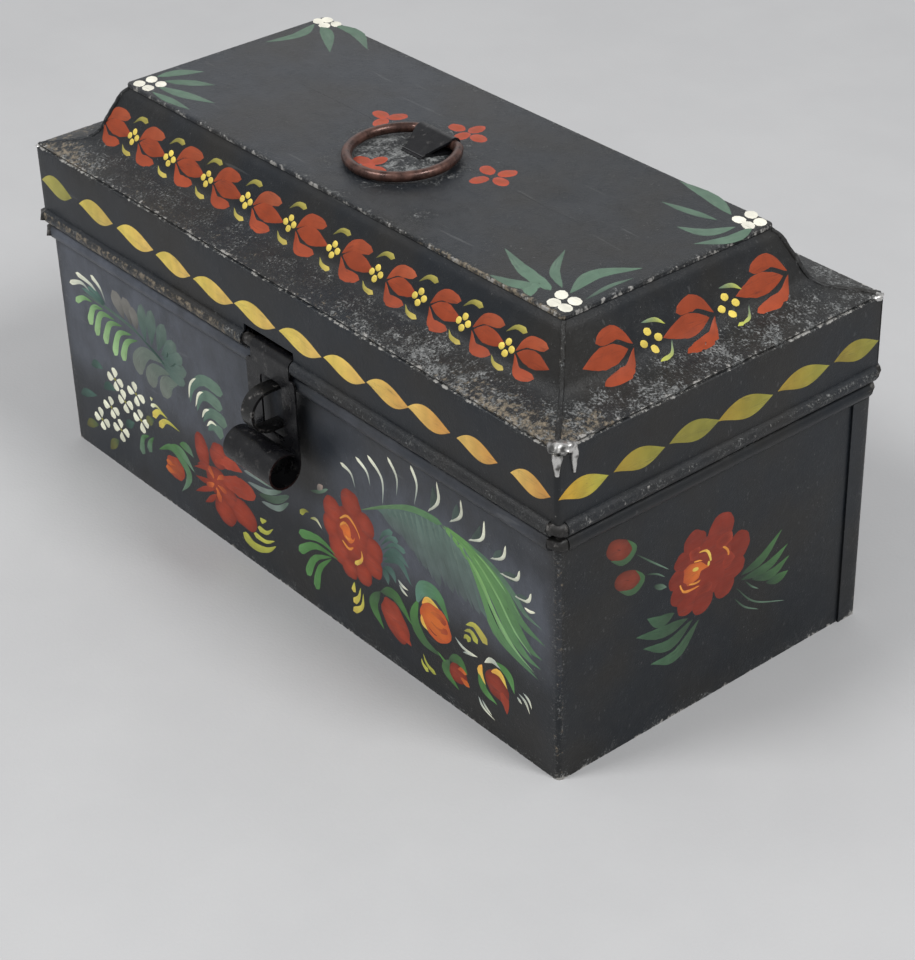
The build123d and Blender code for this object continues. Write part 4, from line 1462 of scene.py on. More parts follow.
def paint_first_flower():
    c = Canvas("front_first_flower", on_body(FRONT), "box")
    c.strokes("leaf", 1.7, RED, DARK_RED, 0.1, [(-32, 17.4), (-35, 19), (-40.4, 17)],
              [(-32, 16), (-36, 14.8), (-40, 14.4)], [(-31, 14.6), (-35.4, 12.6), (-40.8, 9.4)],
              [(-31, 13), (-33.6, 10.4), (-36.6, 8)], [(-32, 18.6), (-35, 20), (-38.8, 18.6)])
    petals(c, RED, DARK_RED, (-36.1, 24, 4.9, 2.9, 100), (-28.4, 25.4, 4.4, 3.6, 40))
    c.strokes("leaf", 4.4, RED, RED, 0.0, [(-31, 23), (-25, 25.4), (-18.6, 25.3)])
    petals(c, RED, DARK_RED, (-19.8, 12.7, 6.0, 4.0, -4), (-27.6, 9.9, 4.7, 4.2, 0),
           (-30, 17, 5.2, 4.4, 0))
    c.strokes("drop", 6.0, RED, RED, 0.0, [(-31, 17.4), (-23, 19.6), (-13.4, 21)])
    petals(c, RED, DARK_RED, (-25.4, 14.4, 4.2, 3.0, 10))
    c.strokes("drop", 2.6, ORANGE, RED, 0.0, [(-31.6, 16.2), (-29, 18.8), (-26.4, 19.8)],
              [(-31.6, 16.2), (-28.6, 16), (-25.6, 15.4)], [(-31.4, 16.2), (-30, 13.6), (-29.4, 10.8)],
              [(-31, 16.4), (-32.4, 18.6), (-34.4, 20)], [(-31, 16.4), (-33, 15), (-35.4, 14)])
    c.strokes("dash", 0.8, AMBER, ORANGE, 0.0, [(-31.8, 18.6), (-30, 17), (-27.4, 17.4)],
              [(-31.6, 14), (-30, 15.4), (-28.4, 14.6)])
    c.strokes("comma", 3.4, LEMON, LEMON, 0.1, [(-6, 9.9), (-10, 6.8), (-15.6, 5.2), (-20.4, 6.8)])
    c.strokes("comma", 2.0, LEMON, LEMON, 0.1, [(-6.4, 11.2), (-10.6, 9), (-15.6, 9)],
              [(-6.8, 14.6), (-9.8, 12), (-13.6, 11.8)], [(-9.4, 15.7), (-12.2, 14.4)])
    c.finish()


def paint_second_flower():
    c = Canvas("front_second_flower", on_body(FRONT), "box")
    c.strokes("comma", 2.9, GREEN, BRIGHT_GREEN, 0.2, [(20.4, 20), (12.6, 21.4), (4, 19)],
              [(20.4, 19.4), (10.8, 18.6), (3.6, 13.6)], [(17.4, 18.8), (10.4, 14.8), (6.6, 8)],
              [(17.4, 18.4), (12.2, 12.8), (10, 5.6)])
    c.strokes("comma", 1.9, DEEP_TEAL, (0.10, 0.19, 0.155), 0.0,
              [(36.2, 32.9), (38.3, 36.1), (41.5, 38)], [(36.8, 32), (40.1, 35.6), (43.4, 36.4)],
              [(37.1, 30.8), (41.6, 34.6), (46, 34.6)])
    c.strokes("leaf", 2.3, DEEP_TEAL, (0.085, 0.16, 0.135), 0.0,
              [(37.4, 29.2), (42.4, 32.8), (47.2, 31)], [(37.5, 27.9), (43.2, 31), (47.9, 26.6)],
              [(37.6, 26.4), (40.6, 26.6), (42.1, 24.2)], [(37.2, 26), (38.5, 24.6), (39.2, 22.3)])
    petals(c, RED, DARK_RED, (26.2, 38, 4.0, 3.8, 80), (31, 34.6, 3.4, 3.6, 60),
           (19, 32.6, 3.9, 3.8, 150), (18, 28, 3.4, 3.6, 190), (21, 23, 4.2, 4.2, 230),
           (24.6, 19.6, 3.0, 3.2, 270), (30, 20.4, 3.0, 3.2, -60), (33.6, 24.8, 3.6, 3.4, -20),
           (34, 29.2, 3.6, 3.2, 10), (26, 29, 7.6, 7.8, 0))
    c.blob((24.8, 29.4), (5.2, 5.0), 20, ORANGE, RED, uneven=0.25)
    c.strokes("dash", 1.3, AMBER, ORANGE, 0.0, [(20.8, 31.4), (24.8, 34), (28.6, 31), (29, 27.4)],
              [(21, 29.4), (23.4, 31.6), (26.4, 30.6)], [(21.6, 26.6), (24.6, 25), (27.4, 27)],
              [(22.6, 28.6), (24.6, 27.6), (26, 29)])
    c.strokes("comma", 1.9, ORANGE, YELLOW, 0.0, [(28.8, 28.4), (29.6, 24.6), (26.4, 21.6)])
    c.strokes("comma", 2.0, LEMON, YELLOW, 0.0, [(26, 16.2), (25.4, 13)],
              [(28.4, 15.8), (27.4, 12.4), (25.2, 10)], [(29.3, 14.6), (28.6, 10.4), (24.8, 7.2)])
    c.strokes("comma", 1.8, OLIVE_OCHRE, LEMON, 0.3, [(9, 27.3), (7, 26.8), (5, 25)])
    c.strokes("leaf", 1.0, LEMON, IVORY, 0.2, [(9.2, 25.8), (11.8, 26.6), (14, 25)])
    c.strokes("leaf", 2.0, DUSK, (0.40, 0.30, 0.25), 0.1, [(13, 35.8), (15.4, 38)])
    c.strokes("dash", 1.0, DIM_GREEN, GREY_GREEN, 0.4, [(10, 34), (14, 35.6), (17.4, 38)])
    c.finish()


OVER_PLUME = 0.02            # lifts the lobes over the plume's edge
OVER_LOBE = 0.012            # lifts a white arc over its own dark lobe
LOBE_OFFSETS = ((0.9, 0.6), (-1.5, -0.2), (-1.4, -1.8))     # from a white arc to its lobe


def paint_veil(canvas):
    """Fifteen faded strokes that fan down from the plume's back."""
    for k in range(15):
        t = k / 14
        start = (mix(38, 66, t), 43.4 + 5.6 * math.sin(0.62 * math.pi * t))
        end = (mix(42, 74, t), mix(38.6, 32, smooth(2 * t)) + 1.5 * wander(k, 0, 0, 0.9, 47))
        middle = (mix(start[0], end[0], 0.4), mix(start[1], end[1], 0.5) + 1)
        shape = "drop" if k % 2 else "leaf"
        canvas.stroke(shape, 3.8, (0.115, 0.18, 0.145), (0.080, 0.100, 0.100), 0.0,
                      [start, middle, end])


def edged_lobes(canvas, *arcs):
    """Dark lobes, each with a white arc along its outer edge."""
    for arc in arcs:
        lobe = [(x + right, z + up) for (x, z), (right, up) in zip(arc, LOBE_OFFSETS)]
        canvas.stroke("leaf", 2.2, (0.060, 0.088, 0.075), (0.048, 0.072, 0.062), 0.0, lobe)
        canvas.layer += OVER_LOBE
        canvas.stroke("dash", 0.95, (0.42, 0.45, 0.38), IVORY, 0.0, arc)
        canvas.layer -= OVER_LOBE


def paint_plume():
    """The long bright plume over its faded veil, with white arcs above it."""
    c = Canvas("front_right_plume", on_body(FRONT), "box")
    c.stroke("leaf", 9.5, (0.08, 0.13, 0.11), (0.095, 0.145, 0.125), 0.0,
             [(36, 41.6), (47, 43.6), (58, 43.4), (68, 38), (75, 31)])
    paint_veil(c)
    c.strokes("comma", 2.4, (0.11, 0.20, 0.09), (0.09, 0.20, 0.09), 0.1,
              [(29.7, 38.3), (38.8, 43.4), (49, 47.8), (59.4, 49)])
    c.strokes("leaf", 3.4, (0.13, 0.30, 0.085), (0.075, 0.16, 0.085), 0.0,
              [(58.9, 48.6), (67.3, 44.8), (72.3, 37.9), (77.2, 30), (84.6, 26.5), (91, 24.4)],
              [(59.9, 49), (69.3, 45.6), (76.6, 38.8), (82, 32), (87, 28.6), (92, 27.6)],
              [(60, 49), (69.8, 46.4), (78, 40.6), (83.6, 35), (88.3, 31.2), (92.4, 30.4)],
              [(60.8, 49.2), (71.6, 46.8), (79.6, 42.2), (85.8, 36.8), (93.6, 34.6)])
    c.strokes("leaf", 2.0, (0.075, 0.15, 0.085), (0.10, 0.17, 0.12), 0.0,
              [(64.6, 48.8), (75.8, 46.8), (83.1, 42.8), (86.9, 39.8), (92.5, 38.5)])
    c.strokes("leaf", 1.2, (0.18, 0.37, 0.10), (0.22, 0.40, 0.19), 0.0,
              [(59.4, 48.9), (67.6, 45.2), (73.4, 38.6), (79.6, 30.6), (86, 26.8)],
              [(60, 48.8), (69.6, 46.2), (77.4, 40), (83.4, 33.2), (89, 29.6)],
              [(61, 49), (72, 46.9), (80, 42.6), (86, 37.6)],
              [(64, 47.6), (71, 42.2), (76.6, 34.6), (83, 28.6), (90, 25.4)])
    c.strokes("leaf", 0.8, DEEP_TEAL, BLACK, 0.0, [(66.6, 44.6), (73, 37.6), (78.6, 30.4)],
              [(71.4, 44), (77.6, 37.4), (83, 31.2)], [(75.4, 43.2), (81.6, 37.8), (87, 32.6)])
    c.strokes("comma", 1.3, PALE_GREY, IVORY, 0.25, [(28.2, 43.5), (26.7, 46.9), (22.9, 48)],
              [(33.9, 46.7), (32.7, 50.2), (28.9, 52.4)], [(38.2, 43.6), (38.2, 50.8), (33.4, 54.9)])
    c.strokes("comma", 1.2, PALE_GREY, IVORY, 0.25, [(43.4, 48.6), (43.7, 53.9), (40.8, 57.9)],
              [(49.7, 49.3), (50.9, 55.4), (49.1, 59.6)])
    c.layer += OVER_PLUME
    edged_lobes(c, [(54.4, 49.9), (58.3, 54.6), (58.1, 59.7)], [(61.9, 50.9), (66.0, 54.6), (66.2, 58.9)],
                [(68.3, 49.4), (73.2, 52.4), (74.0, 57.3)], [(75.7, 48.4), (80.0, 50.9), (81.0, 54.5)],
                [(78.7, 46.2), (84.2, 47.4), (85.4, 50.3)], [(83.1, 42.7), (87.8, 43.6), (89.0, 46.3)])
    c.stroke("dash", 0.8, IVORY, IVORY, 0.0, [(86.7, 41.4), (88.4, 41.2), (90.3, 41.9)])
    c.finish()


def paint_first_bud(c):
    """A dark red bud between two leaves, with white sprigs above."""
    c.strokes("leaf", 3.2, DIM_GREEN, GREEN, 0.1, [(36, 18.8), (33.2, 13.6), (36.8, 8.2)],
              [(36, 18.8), (41.4, 20.4), (47.6, 15.4)])
    c.blob((41.2, 13.6), (6.0, 4.1), -48, (0.33, 0.050, 0.023), (0.22, 0.030, 0.015), uneven=0.2)
    c.strokes("drop", 4.0, RED, RED, 0.0, [(47, 9), (44.4, 10.6), (41.6, 10.6)])
    c.strokes("leaf", 0.9, PALE_GREY, IVORY, 0.0, [(42.8, 25.8), (44.4, 24.8), (46.6, 24.6)],
              [(43.2, 24.6), (44.6, 23.4), (46.4, 22.8)])


def paint_orange_bud(c):
    """The largest bud, orange streaked with red and edged with yellow."""
    c.strokes("leaf", 4.2, TEAL, GREEN, 0.0, [(49.6, 22.6), (51.6, 27.6), (57, 28.6), (61.2, 23.4)])
    c.strokes("leaf", 3.4, GREEN, DIM_GREEN, 0.0, [(50.2, 24.2), (48.4, 18), (51.6, 13.4), (58.4, 12)])
    c.strokes("dash", 0.8, GREEN, GREEN, 0.0, [(56.4, 13), (59, 11.6), (60.6, 11.8)])
    c.blob((56.1, 20.8), (5.6, 4.8), -20, ORANGE, (0.50, 0.085, 0.02), uneven=0.14)
    c.strokes("drop", 3.0, ORANGE, RED, 0.0, [(53, 21), (57, 19.6), (61, 20.6)],
              [(53.6, 22.6), (57, 23), (60.4, 22)])
    c.strokes("leaf", 0.7, DARK_RED, DARK_RED, 0.0, [(55.4, 22.6), (58.4, 20.6)],
              [(52.6, 19), (55.4, 17.4), (58, 17.6)])
    c.strokes("leaf", 1.5, AMBER, YELLOW, 0.0, [(51.4, 23.6), (53.8, 25.9), (57.6, 25.2)],
              [(51.2, 20.6), (51.6, 18.4), (53.4, 17)])


def paint_small_bud(c):
    """A small dark bud under yellow commas and white sprigs."""
    c.strokes("comma", 2.8, LEMON, (0.45, 0.38, 0.08), 0.1, [(66.8, 26), (70, 27.3), (74.2, 24.4)])
    c.strokes("comma", 2.2, OLIVE_OCHRE, LEMON, 0.0, [(66.2, 24), (68.6, 25), (70.8, 22.8)],
              [(66, 21.8), (67, 22.8), (68.4, 22.2)])
    c.strokes("leaf", 0.8, PALE_GREY, IVORY, 0.0, [(62.9, 20.6), (66, 19), (71, 19.2)],
              [(65.6, 17.8), (68, 18.6), (70.4, 19)])
    c.strokes("leaf", 2.8, DIM_GREEN, GREEN, 0.0, [(60.9, 13), (59.4, 9.2), (64, 6)],
              [(60.4, 12.8), (64, 14.6), (67.2, 12.2)])
    c.blob((63.6, 10.6), (3.2, 2.7), 0, BUD_RED, BUD_SHADE, uneven=0.2)
    c.strokes("drop", 1.8, RED, ORANGE, 0.0, [(63, 11.6), (65, 12.4), (66.8, 12)],
              [(63, 10.6), (65.4, 10), (67.8, 9)])


def paint_last_bud(c):
    """A dark red bud edged with yellow and white, and the sprigs round it."""
    c.strokes("leaf", 2.4, GREEN, BRIGHT_GREEN, 0.0, [(76.8, 21.4), (81.2, 20), (83.2, 16)],
              [(71.3, 17.2), (72.6, 11.8), (77.4, 9.6)])
    c.blob((77.2, 14.8), (4.3, 3.3), -35, BUD_RED, BUD_SHADE, uneven=0.16)
    c.strokes("drop", 3.2, RED, RED, 0.0, [(80.6, 8.8), (80, 12), (78.2, 14.6)])
    c.strokes("leaf", 1.9, AMBER, YELLOW, 0.0, [(75, 17.6), (78.2, 18.8), (80.8, 16)],
              [(72.2, 18), (71.5, 15.6), (73.4, 13)])
    c.strokes("leaf", 1.5, IVORY, PALE_GREY, 0.0, [(73.0, 19.0), (75.6, 21), (79.2, 20.2)])
    c.strokes("leaf", 0.8, PALE_GREY, IVORY, 0.0, [(86, 18), (87.8, 17), (88.9, 15)],
              [(84.5, 17), (86.8, 15.8), (88.2, 13.2)], [(84, 15.8), (85.6, 14.6)],
              [(70.8, 8.5), (72.4, 6), (76.4, 4.5)], [(72, 8.2), (73.4, 6.6), (75.4, 5.4)])


def paint_buds():
    """Four red and orange buds in their green leaves along the foot of the front's right half."""
    c = Canvas("front_buds", on_body(FRONT), "box")
    paint_first_bud(c)
    paint_orange_bud(c)
    paint_small_bud(c)
    paint_last_bud(c)
    c.strokes("comma", 1.7, LEMON, LEMON, 0.1, [(51.2, 9.4), (52.6, 6.8), (55.6, 5.6)],
              [(50.5, 7.6), (51, 6), (52.8, 4.8)])
    c.finish()


# ---- The ends -----------------------------------------------------------------------------------
def paint_end_bud(c, x, z, turn):
    """A dark red bud in a green leaf, with a black line across it."""
    c.stroke("leaf", 2.0, DIM_GREEN, (0.05, 0.12, 0.045), 0.0,
             [(x - 2.6, z - 1.6), (x + 1.4, z - 3.6), (x + 4.4, z - 1.6), (x + 2.2, z + 1.8)])
    c.blob((x, z), (4.3, 2.7), turn, (0.20, 0.035, 0.018), (0.11, 0.022, 0.012), uneven=0.1)
    c.stroke("leaf", 1.2, BLACK, BLACK, 0.0, [(x - 1.6, z + 0.9), (x, z + 0.1), (x + 1.6, z - 0.8)])


def paint_end(side, word):
    """A red flower with two buds. The left end, out of sight, carries the same one mirrored."""
    c = Canvas(f"{word}_end_flower", on_body(side), "box", mirrored=side == LEFT)
    c.strokes("dash", 0.45, DIM_GREEN, GREY_GREEN, 0.5, [(-25, 50.2), (-20, 45.8), (-14.8, 41.4)],
              [(-21.8, 43.4), (-18.6, 42), (-16, 40)], [(6.4, 26.4), (12.8, 19.6), (23, 15)],
              [(9.3, 27), (11.6, 24.4), (14, 22.6)], [(6.1, 23.6), (9.6, 19.6), (14.4, 16.6)])
    c.strokes("leaf", 1.6, DIM_GREEN, GREY_GREEN, 0.5, [(-19.4, 39.2), (-17.4, 38), (-15.4, 37)])
    c.strokes("leaf", 2.7, (0.035, 0.065, 0.038), (0.06, 0.15, 0.05), 0.3,
              [(7.9, 29.2), (14.4, 30.8), (20.6, 36.2)], [(7.9, 27.8), (16.6, 27.8), (22.8, 31.2)],
              [(11.4, 26.4), (18, 25), (23.6, 27.6)], [(16.2, 23.2), (20.4, 22.6), (23.5, 23.3)])
    c.strokes("leaf", 3.2, DIM_GREEN, (0.05, 0.11, 0.06), 0.2,
              [(-12.9, 28.9), (-17.2, 28.6), (-21.4, 31.4)],
              [(-8.6, 25.3), (-16.4, 25.4), (-24.8, 27.9)], [(-7.1, 24.3), (-14.4, 21), (-22.6, 23.8)],
              [(-5, 23.3), (-12.2, 17.2), (-20.2, 18.4)])
    paint_end_bud(c, -30, 53.6, -36)
    paint_end_bud(c, -27.3, 44.4, -22)
    petals(c, DARK_RED, DARK_RED, (-7.1, 44.8, 3.5, 3.4, 90), (0.9, 45, 4.2, 4.0, 60),
           (6.6, 37.8, 3.6, 4.2, 0), (5, 33, 3.8, 3.6, -30), (2.6, 28.8, 3.2, 3.0, -60),
           (-4.2, 28, 3.4, 3.4, -90), (-9.2, 29.2, 2.8, 3.0, 240), (-11.6, 33, 2.9, 2.8, 200),
           (-12.2, 37.4, 2.7, 2.6, 180), (-10.6, 41.2, 2.7, 2.6, 140), (-2.6, 36.6, 8.6, 8.2, 0))
    petals(c, DARK_RED, RED, (-7, 42, 2.6, 2.2, 90), (1.6, 41.4, 3.2, 2.8, 40),
           (3.4, 35.4, 3.0, 2.8, 0), (-3.6, 31.4, 3.4, 2.4, 0))
    c.blob((-5.4, 36.8), (5.8, 4.6), 0, ORANGE, RED, uneven=0.2)
    c.strokes("dash", 1.0, AMBER, ORANGE, 0.0, [(-11.6, 36), (-9.8, 33), (-3.4, 32.6)],
              [(-9.4, 34.6), (-6, 33.8), (-3, 35)], [(0.4, 41), (3.4, 38), (3.2, 34)],
              [(-8, 40), (-5, 39.2), (-3.6, 38)])
    c.strokes("comma", 1.9, AMBER, YELLOW, 0.0, [(-7, 41.8), (-3.2, 41), (-1.6, 36.8)])
    c.blob((-6.6, 37.6), (2.1, 1.1), -15, YELLOW, AMBER)
    c.blob((-2.6, 37.4), (0.8, 1.4), 0, YELLOW, AMBER)
    c.finish()


# ---- The lid ------------------------------------------------------------------------------------
FRONT_BORDER = (            # left tip, right tip and height of each leaf
    (-97.4, -83.0, 77.1), (-79.8, -64.5, 76.8), (-63.0, -47.0, 76.2), (-46.3, -31.5, 75.2),
    (-30.5, -14.0, 74.9), (-13.7, 2.5, 75.1), (3.7, 20.0, 75.0), (20.7, 36.0, 75.3), (36.3, 51.0, 75.7),
    (50.5, 65.0, 75.7), (67.0, 80.3, 75.4), (84.3, 96.8, 75.0),
)
END_BORDER = (              # and how far each has turned from green to yellow
    (-48.4, -34.4, 75.0, 1.0), (-33.0, -18.3, 75.0, 0.45), (-17.2, -2.4, 75.2, 0.1),
    (-3.0, 13.6, 75.0, 0.45), (15.0, 31.6, 75.2, 0.5), (33.0, 47.6, 75.3, 0.3),
)
UNRIPE = (0.20, 0.19, 0.035)


def border_leaf(canvas, left, right, level, colour, end_colour):
    """One leaf of the wavy border: full above its first half and below its second."""
    canvas.next_stroke()
    count = 16
    rise = 3.0 + 0.4 * wander(left, 0, 0, 7, 50)
    fall = 2.5 + 0.3 * wander(left, 1, 0, 7, 51)
    rows = []
    tips = []
    for k in range(count + 1):
        t = k / count
        shade = mix_colour(colour, end_colour, smooth(t))
        x = mix(left, right, t)
        if k in (0, count):
            tips.append(canvas.put(x, level, 0.0, shade, (0, 0)))
            continue
        over = rise * math.sin(math.pi * t ** 0.86) ** 1.1
        under = fall * math.sin(math.pi * t ** 1.25) ** 1.1
        place = Vector((x, level + (over - under) / 2))
        rows.append(canvas.row(place, Vector((0, (over + under) / 2)), shade, x - left))
    canvas.ribbon(rows, tips)


def paint_borders():
    """The border of leaves along the lid's upright band, greener at its left and round the ends."""
    c = Canvas("front_band_leaves", on_skirt(FRONT), "lid")
    for left, right, level in FRONT_BORDER:
        redder = smooth((left - 10) / 40)
        greener = smooth((-70 - left) / 25)
        start = mix_colour(mix_colour(YELLOW, OCHRE, redder), (0.40, 0.36, 0.08), greener)
        end = mix_colour(mix_colour(OCHRE, (0.62, 0.30, 0.07), redder), OLIVE_OCHRE, greener)
        border_leaf(c, left, right, level, start, end)
    c.finish()
    for side, word in ((RIGHT, "right"), (LEFT, "left")):
        c = Canvas(f"{word}_band_leaves", on_skirt(side), "lid", mirrored=side == LEFT)
        for left, right, level, ripe in END_BORDER:
            start = mix_colour(UNRIPE, (0.50, 0.29, 0.03), ripe)
            end = mix_colour(UNRIPE, (0.36, 0.34, 0.05), ripe)
            border_leaf(c, left, right, level, start, end)
        c.finish()


def tulip(canvas, widths, colours, petals_at):
    """Three petals from one foot: the upper, the lower and, over them, the middle one."""
    for shape, width, end_colour, path in zip(("drop", "drop", "leaf"), widths, colours, petals_at):
        canvas.stroke(shape, width, TULIP_RED, end_colour, 0.0, path)


def paint_front_cove():
    """Eleven red tulips pointing right, with yellow dots and commas between them."""
    c = Canvas("front_cove_tulips", on_side_of_cove(FRONT), "lid")
    feet = (-85.5, -70.0, -53.9, -38.2, -22.2, -5.5, 11.5, 28.0, 43.0, 57.3, 71.0)
    for n, x in enumerate(feet):
        y = -11.8 + 0.6 * wander(n, 0, 0, 0.9, 60)
        size = 1.0 if n < 7 else 0.9
        light = mix_colour(TULIP_RED, (0.36, 0.085, 0.035), 0.5 + wander(n, 1, 0, 0.9, 61))
        tulip(c, (3.2 * size, 3.0 * size, 4.3 * size), (light, TULIP_RED, TULIP_RED), (
            [(x, y + 0.4), (x + 3.4 * size, y + 3.5), (x + 9.8 * size, y + 4.3)],
            [(x, y - 0.2), (x + 3 * size, y - 3.4), (x + 8.6 * size, y - 2.9)],
            [(x + 0.5, y + 0.1), (x + 6 * size, y + 0.5), (x + 12 * size, y + 0.4)],
        ))
    for n, foot in enumerate(feet[1:]):
        x = foot - (2.6 + 1.2 * near(n, 6.5, 2.5))
        y = -11.5 + 0.5 * wander(n, 2, 0, 0.9, 62)
        c.dots((0.95, 0.82), 30, YELLOW,
               (x + 0.1, y + 1.3), (x - 1.5, y - 0.1), (x + 1.5, y + 0.1), (x, y - 1.3))
        c.stroke("comma", 1.7, OLIVE_OCHRE, (0.34, 0.29, 0.06), 0.4,
                 [(x - 1.6, y + 3), (x + 1, y + 5), (x + 4.3, y + 5)])
        c.stroke("comma", 1.5, OLIVE_OCHRE, (0.42, 0.33, 0.07), 0.1,
                 [(x - 3.3, y - 2.9), (x - 1.4, y - 4.3), (x + 2, y - 4.6)])
    c.finish()


def paint_end_cove(side, word):
    """Three larger tulips pointing toward the front."""
    c = Canvas(f"{word}_cove_tulips", on_side_of_cove(side), "lid", mirrored=side == LEFT)
    for x, y, size in ((-15.4, -12.0, 1.0), (8.0, -13.2, 1.05), (31.0, -11.6, 1.1)):
        tulip(c, (3.6, 3.3, 5.0), (TULIP_RED, TULIP_RED, TULIP_RED), (
            [(x, y + 0.6), (x - 4 * size, y + 4.4), (x - 9.6 * size, y + 4)],
            [(x, y - 0.2), (x - 3.6 * size, y - 4.2), (x - 11.4 * size, y - 5.2)],
            [(x - 1.6, y), (x - 8 * size, y + 0.3), (x - 14.6 * size, y + 0.2)],
        ))
    for x, y in ((-10.5, -12.2), (12.4, -12.4)):
        c.dots((1.15, 0.85), -30, YELLOW,
               (x - 0.4, y + 1.9), (x - 2.1, y - 0.3), (x + 2.1, y - 0.2), (x + 0.2, y - 2.2))
        c.stroke("leaf", 1.0, GREY_GREEN, LEMON, 0.1,
                 [(x - 1.4, y + 4.2), (x + 2.4, y + 3.6), (x + 4.9, y + 1.8)])
        c.stroke("comma", 1.3, GREY_GREEN, LEMON, 0.1,
                 [(x + 5.4, y - 1.8), (x + 3.4, y - 4.6), (x - 0.6, y - 5.2)])
    c.finish()


def paint_top():
    """Ivory dots with green leaves in the corners."""
    c = Canvas("top_corner_sprays", on_top, "lid")
    pale = (0.080, 0.140, 0.095)
    dim = (0.070, 0.115, 0.083)
    c.strokes("leaf", 3.4, pale, dim, 0.1, [(-78.6, -23.4), (-77, -18), (-73.2, -12.6)],
              [(-75.4, -23.4), (-70, -19.2), (-64.2, -15.6)],
              [(-73.6, -26.4), (-65, -24.6), (-55, -22.2)], [(-75, 29.4), (-66, 30), (-55.6, 25.4)],
              [(-77, 27), (-70, 23.6), (-60.6, 17.2)], [(-78.6, 26), (-75.6, 18.4), (-77.6, 9.2)],
              [(72, 26.8), (63, 29.6), (52, 30.3)], [(79.2, 26), (80, 18.4), (76, 11)],
              [(76.6, 23.4), (74, 17), (67.6, 14.2)])
    c.strokes("leaf", 2.3, pale, dim, 0.1, [(-71.6, -29.4), (-64, -29.1), (-56.2, -28.7)],
              [(71.8, -23), (65, -19), (59.2, -10.8)], [(71.6, 22.9), (64, 21.4), (56.6, 20.2)])
    c.strokes("leaf", 4.0, pale, pale, 0.1, [(74.6, -23.4), (72, -13.6), (76.8, -4.4)])
    c.strokes("drop", 3.6, dim, pale, 0.1, [(50, -20), (60, -23.4), (71, -25.4)],
              [(57, -30.4), (63, -29.2), (68.6, -26.4)])
    c.strokes("leaf", 3.2, pale, pale, 0.0, [(70, -30.2), (67.6, -28.2), (66.4, -25.4)])
    c.strokes("leaf", 1.3, dim, dim, 0.4, [(78.8, -23), (77.9, -15), (78.7, -9)])
    c.dots((1.95, 1.5), 150, (0.66, 0.64, 0.55), (-78.1, -25.2), (-74.2, -25.1), (-78, -28.9),
           (-74.3, -28.8), (-78.5, 30), (-74.6, 29.9), (-79.4, 27.8), (-76, 27.2), (73.9, -25.1),
           (77.8, -24.9), (75.3, -28.4), (78.6, -28.2), (74.8, 30), (78.6, 28.9), (74.7, 26.4),
           (77.9, 25.9))
    c.finish()


def paint_round_ring():
    """Four groups of red dabs round the ring, each dab pointing out from its group's middle."""
    c = Canvas("top_red_dabs", on_top, "lid")
    groups = (
        ((-22.1, 3.1), (-18.3, 5.4), (-18.8, 0.6)),
        ((-4.1, 11.9), (-0.1, 14.6), (3.9, 11.8), (0.2, 9.6)),
        ((22.6, 4.6), (18.3, 2.2), (24.7, 0.7), (20.8, -2.5)),
        ((-5.5, -15.5), (-2.6, -13), (-2, -17.2), (1.4, -16.2)),
    )
    for group in groups:
        x, y = (sum(values) / len(group) for values in zip(*group))
        for a, b in group:
            c.blob((a, b), (2.5, 1.75), math.degrees(math.atan2(b - y, a - x)), TULIP_RED, RED)
    c.finish()


# ---- Camera, floor and light --------------------------------------------------------------------
CAMERA_PLACE = (0.4045, -0.3218, 0.3455)     # metres
CAMERA_AZIMUTH = 51.03                       # degrees round from straight in front
CAMERA_ELEVATION = 32.88
CAMERA_ROLL = -1.76
CAMERA_LENS = 91.0                           # millimetres of focal length


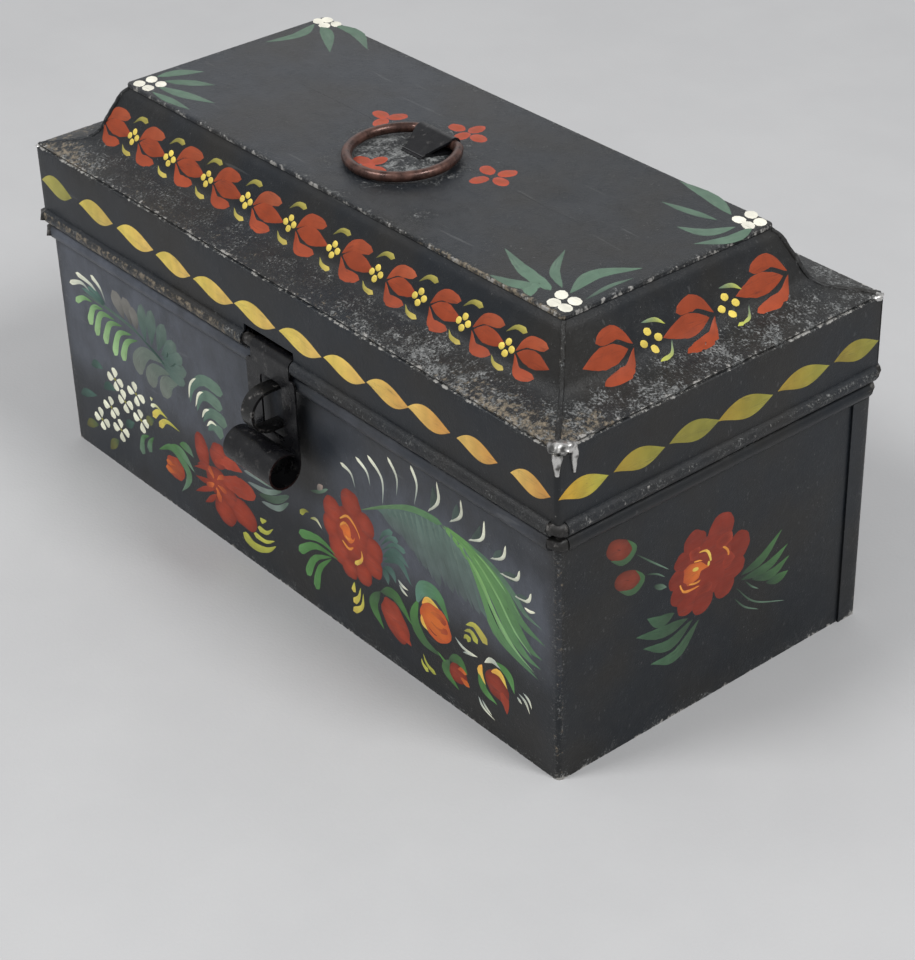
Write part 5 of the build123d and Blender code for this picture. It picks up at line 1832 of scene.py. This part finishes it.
def make_camera():
    data = bpy.data.cameras.new("camera")
    data.lens = CAMERA_LENS
    data.clip_start = 0.01
    data.clip_end = 50
    camera = bpy.data.objects.new("camera", data)
    bpy.context.scene.collection.objects.link(camera)
    turn = Matrix.Rotation(math.radians(CAMERA_AZIMUTH), 3, "Z")
    tilt = Matrix.Rotation(math.radians(90 - CAMERA_ELEVATION), 3, "X")
    roll = Matrix.Rotation(math.radians(CAMERA_ROLL), 3, "Z")
    camera.matrix_world = Matrix.Translation(CAMERA_PLACE) @ (turn @ tilt @ roll).to_4x4()
    bpy.context.scene.camera = camera


def make_floor():
    half = 6.0                                # metres
    corners = [(-half, -half, 0), (half, -half, 0), (half, half, 0), (-half, half, 0)]
    data = bpy.data.meshes.new("floor")
    data.from_pydata(corners, [], [(0, 1, 2, 3)])
    data.materials.append(pale_floor())
    floor = bpy.data.objects.new("floor", data)
    bpy.context.scene.collection.objects.link(floor)


def soft_light(name, place, aim, size, power):
    """A round softbox: its place, aim and size in metres, its power in watts."""
    data = bpy.data.lights.new(name, "AREA")
    data.shape = "DISK"
    data.size = size
    data.energy = power
    light = bpy.data.objects.new(name, data)
    light.location = place
    light.rotation_euler = (Vector(aim) - Vector(place)).to_track_quat("-Z", "Y").to_euler()
    bpy.context.scene.collection.objects.link(light)


def make_light():
    world = bpy.data.worlds.new("studio")
    world.use_nodes = True
    sky = world.node_tree.nodes["Background"]
    sky.inputs["Color"].default_value = (0.97, 0.98, 1.0, 1)
    sky.inputs["Strength"].default_value = 0.60
    bpy.context.scene.world = world
    middle = (0, 0, 0.05)
    soft_light("front_softbox", (-0.22, -0.78, 1.12), middle, 0.40, 9.2)
    soft_light("right_softbox", (0.84, 0.16, 1.08), middle, 0.40, 10.0)
    soft_light("back_softbox", (-0.95, 0.72, 0.95), middle, 0.9, 1.2)
    bpy.context.scene.view_settings.view_transform = "Standard"
    bpy.context.scene.view_settings.look = "None"


make_camera()
make_floor()
make_light()
make_body_front_and_ends()
make_body_back()
make_lid_band_front_and_ends()
make_lid_band_back()
for cove_side, cove_word in ((FRONT, "front"), (RIGHT, "right"), (BACK, "back"), (LEFT, "left")):
    make_cove(cove_side, cove_word)
make_top()
make_hip_seams()
make_rim_corners()
make_corner_solder()
finish_fittings()
paint_feathers()
paint_crescents()
paint_white_flowers()
paint_first_flower()
paint_second_flower()
paint_plume()
paint_buds()
paint_end(RIGHT, "right")
paint_end(LEFT, "left")
paint_borders()
paint_front_cove()
paint_end_cove(RIGHT, "right")
paint_end_cove(LEFT, "left")
paint_top()
paint_round_ring()
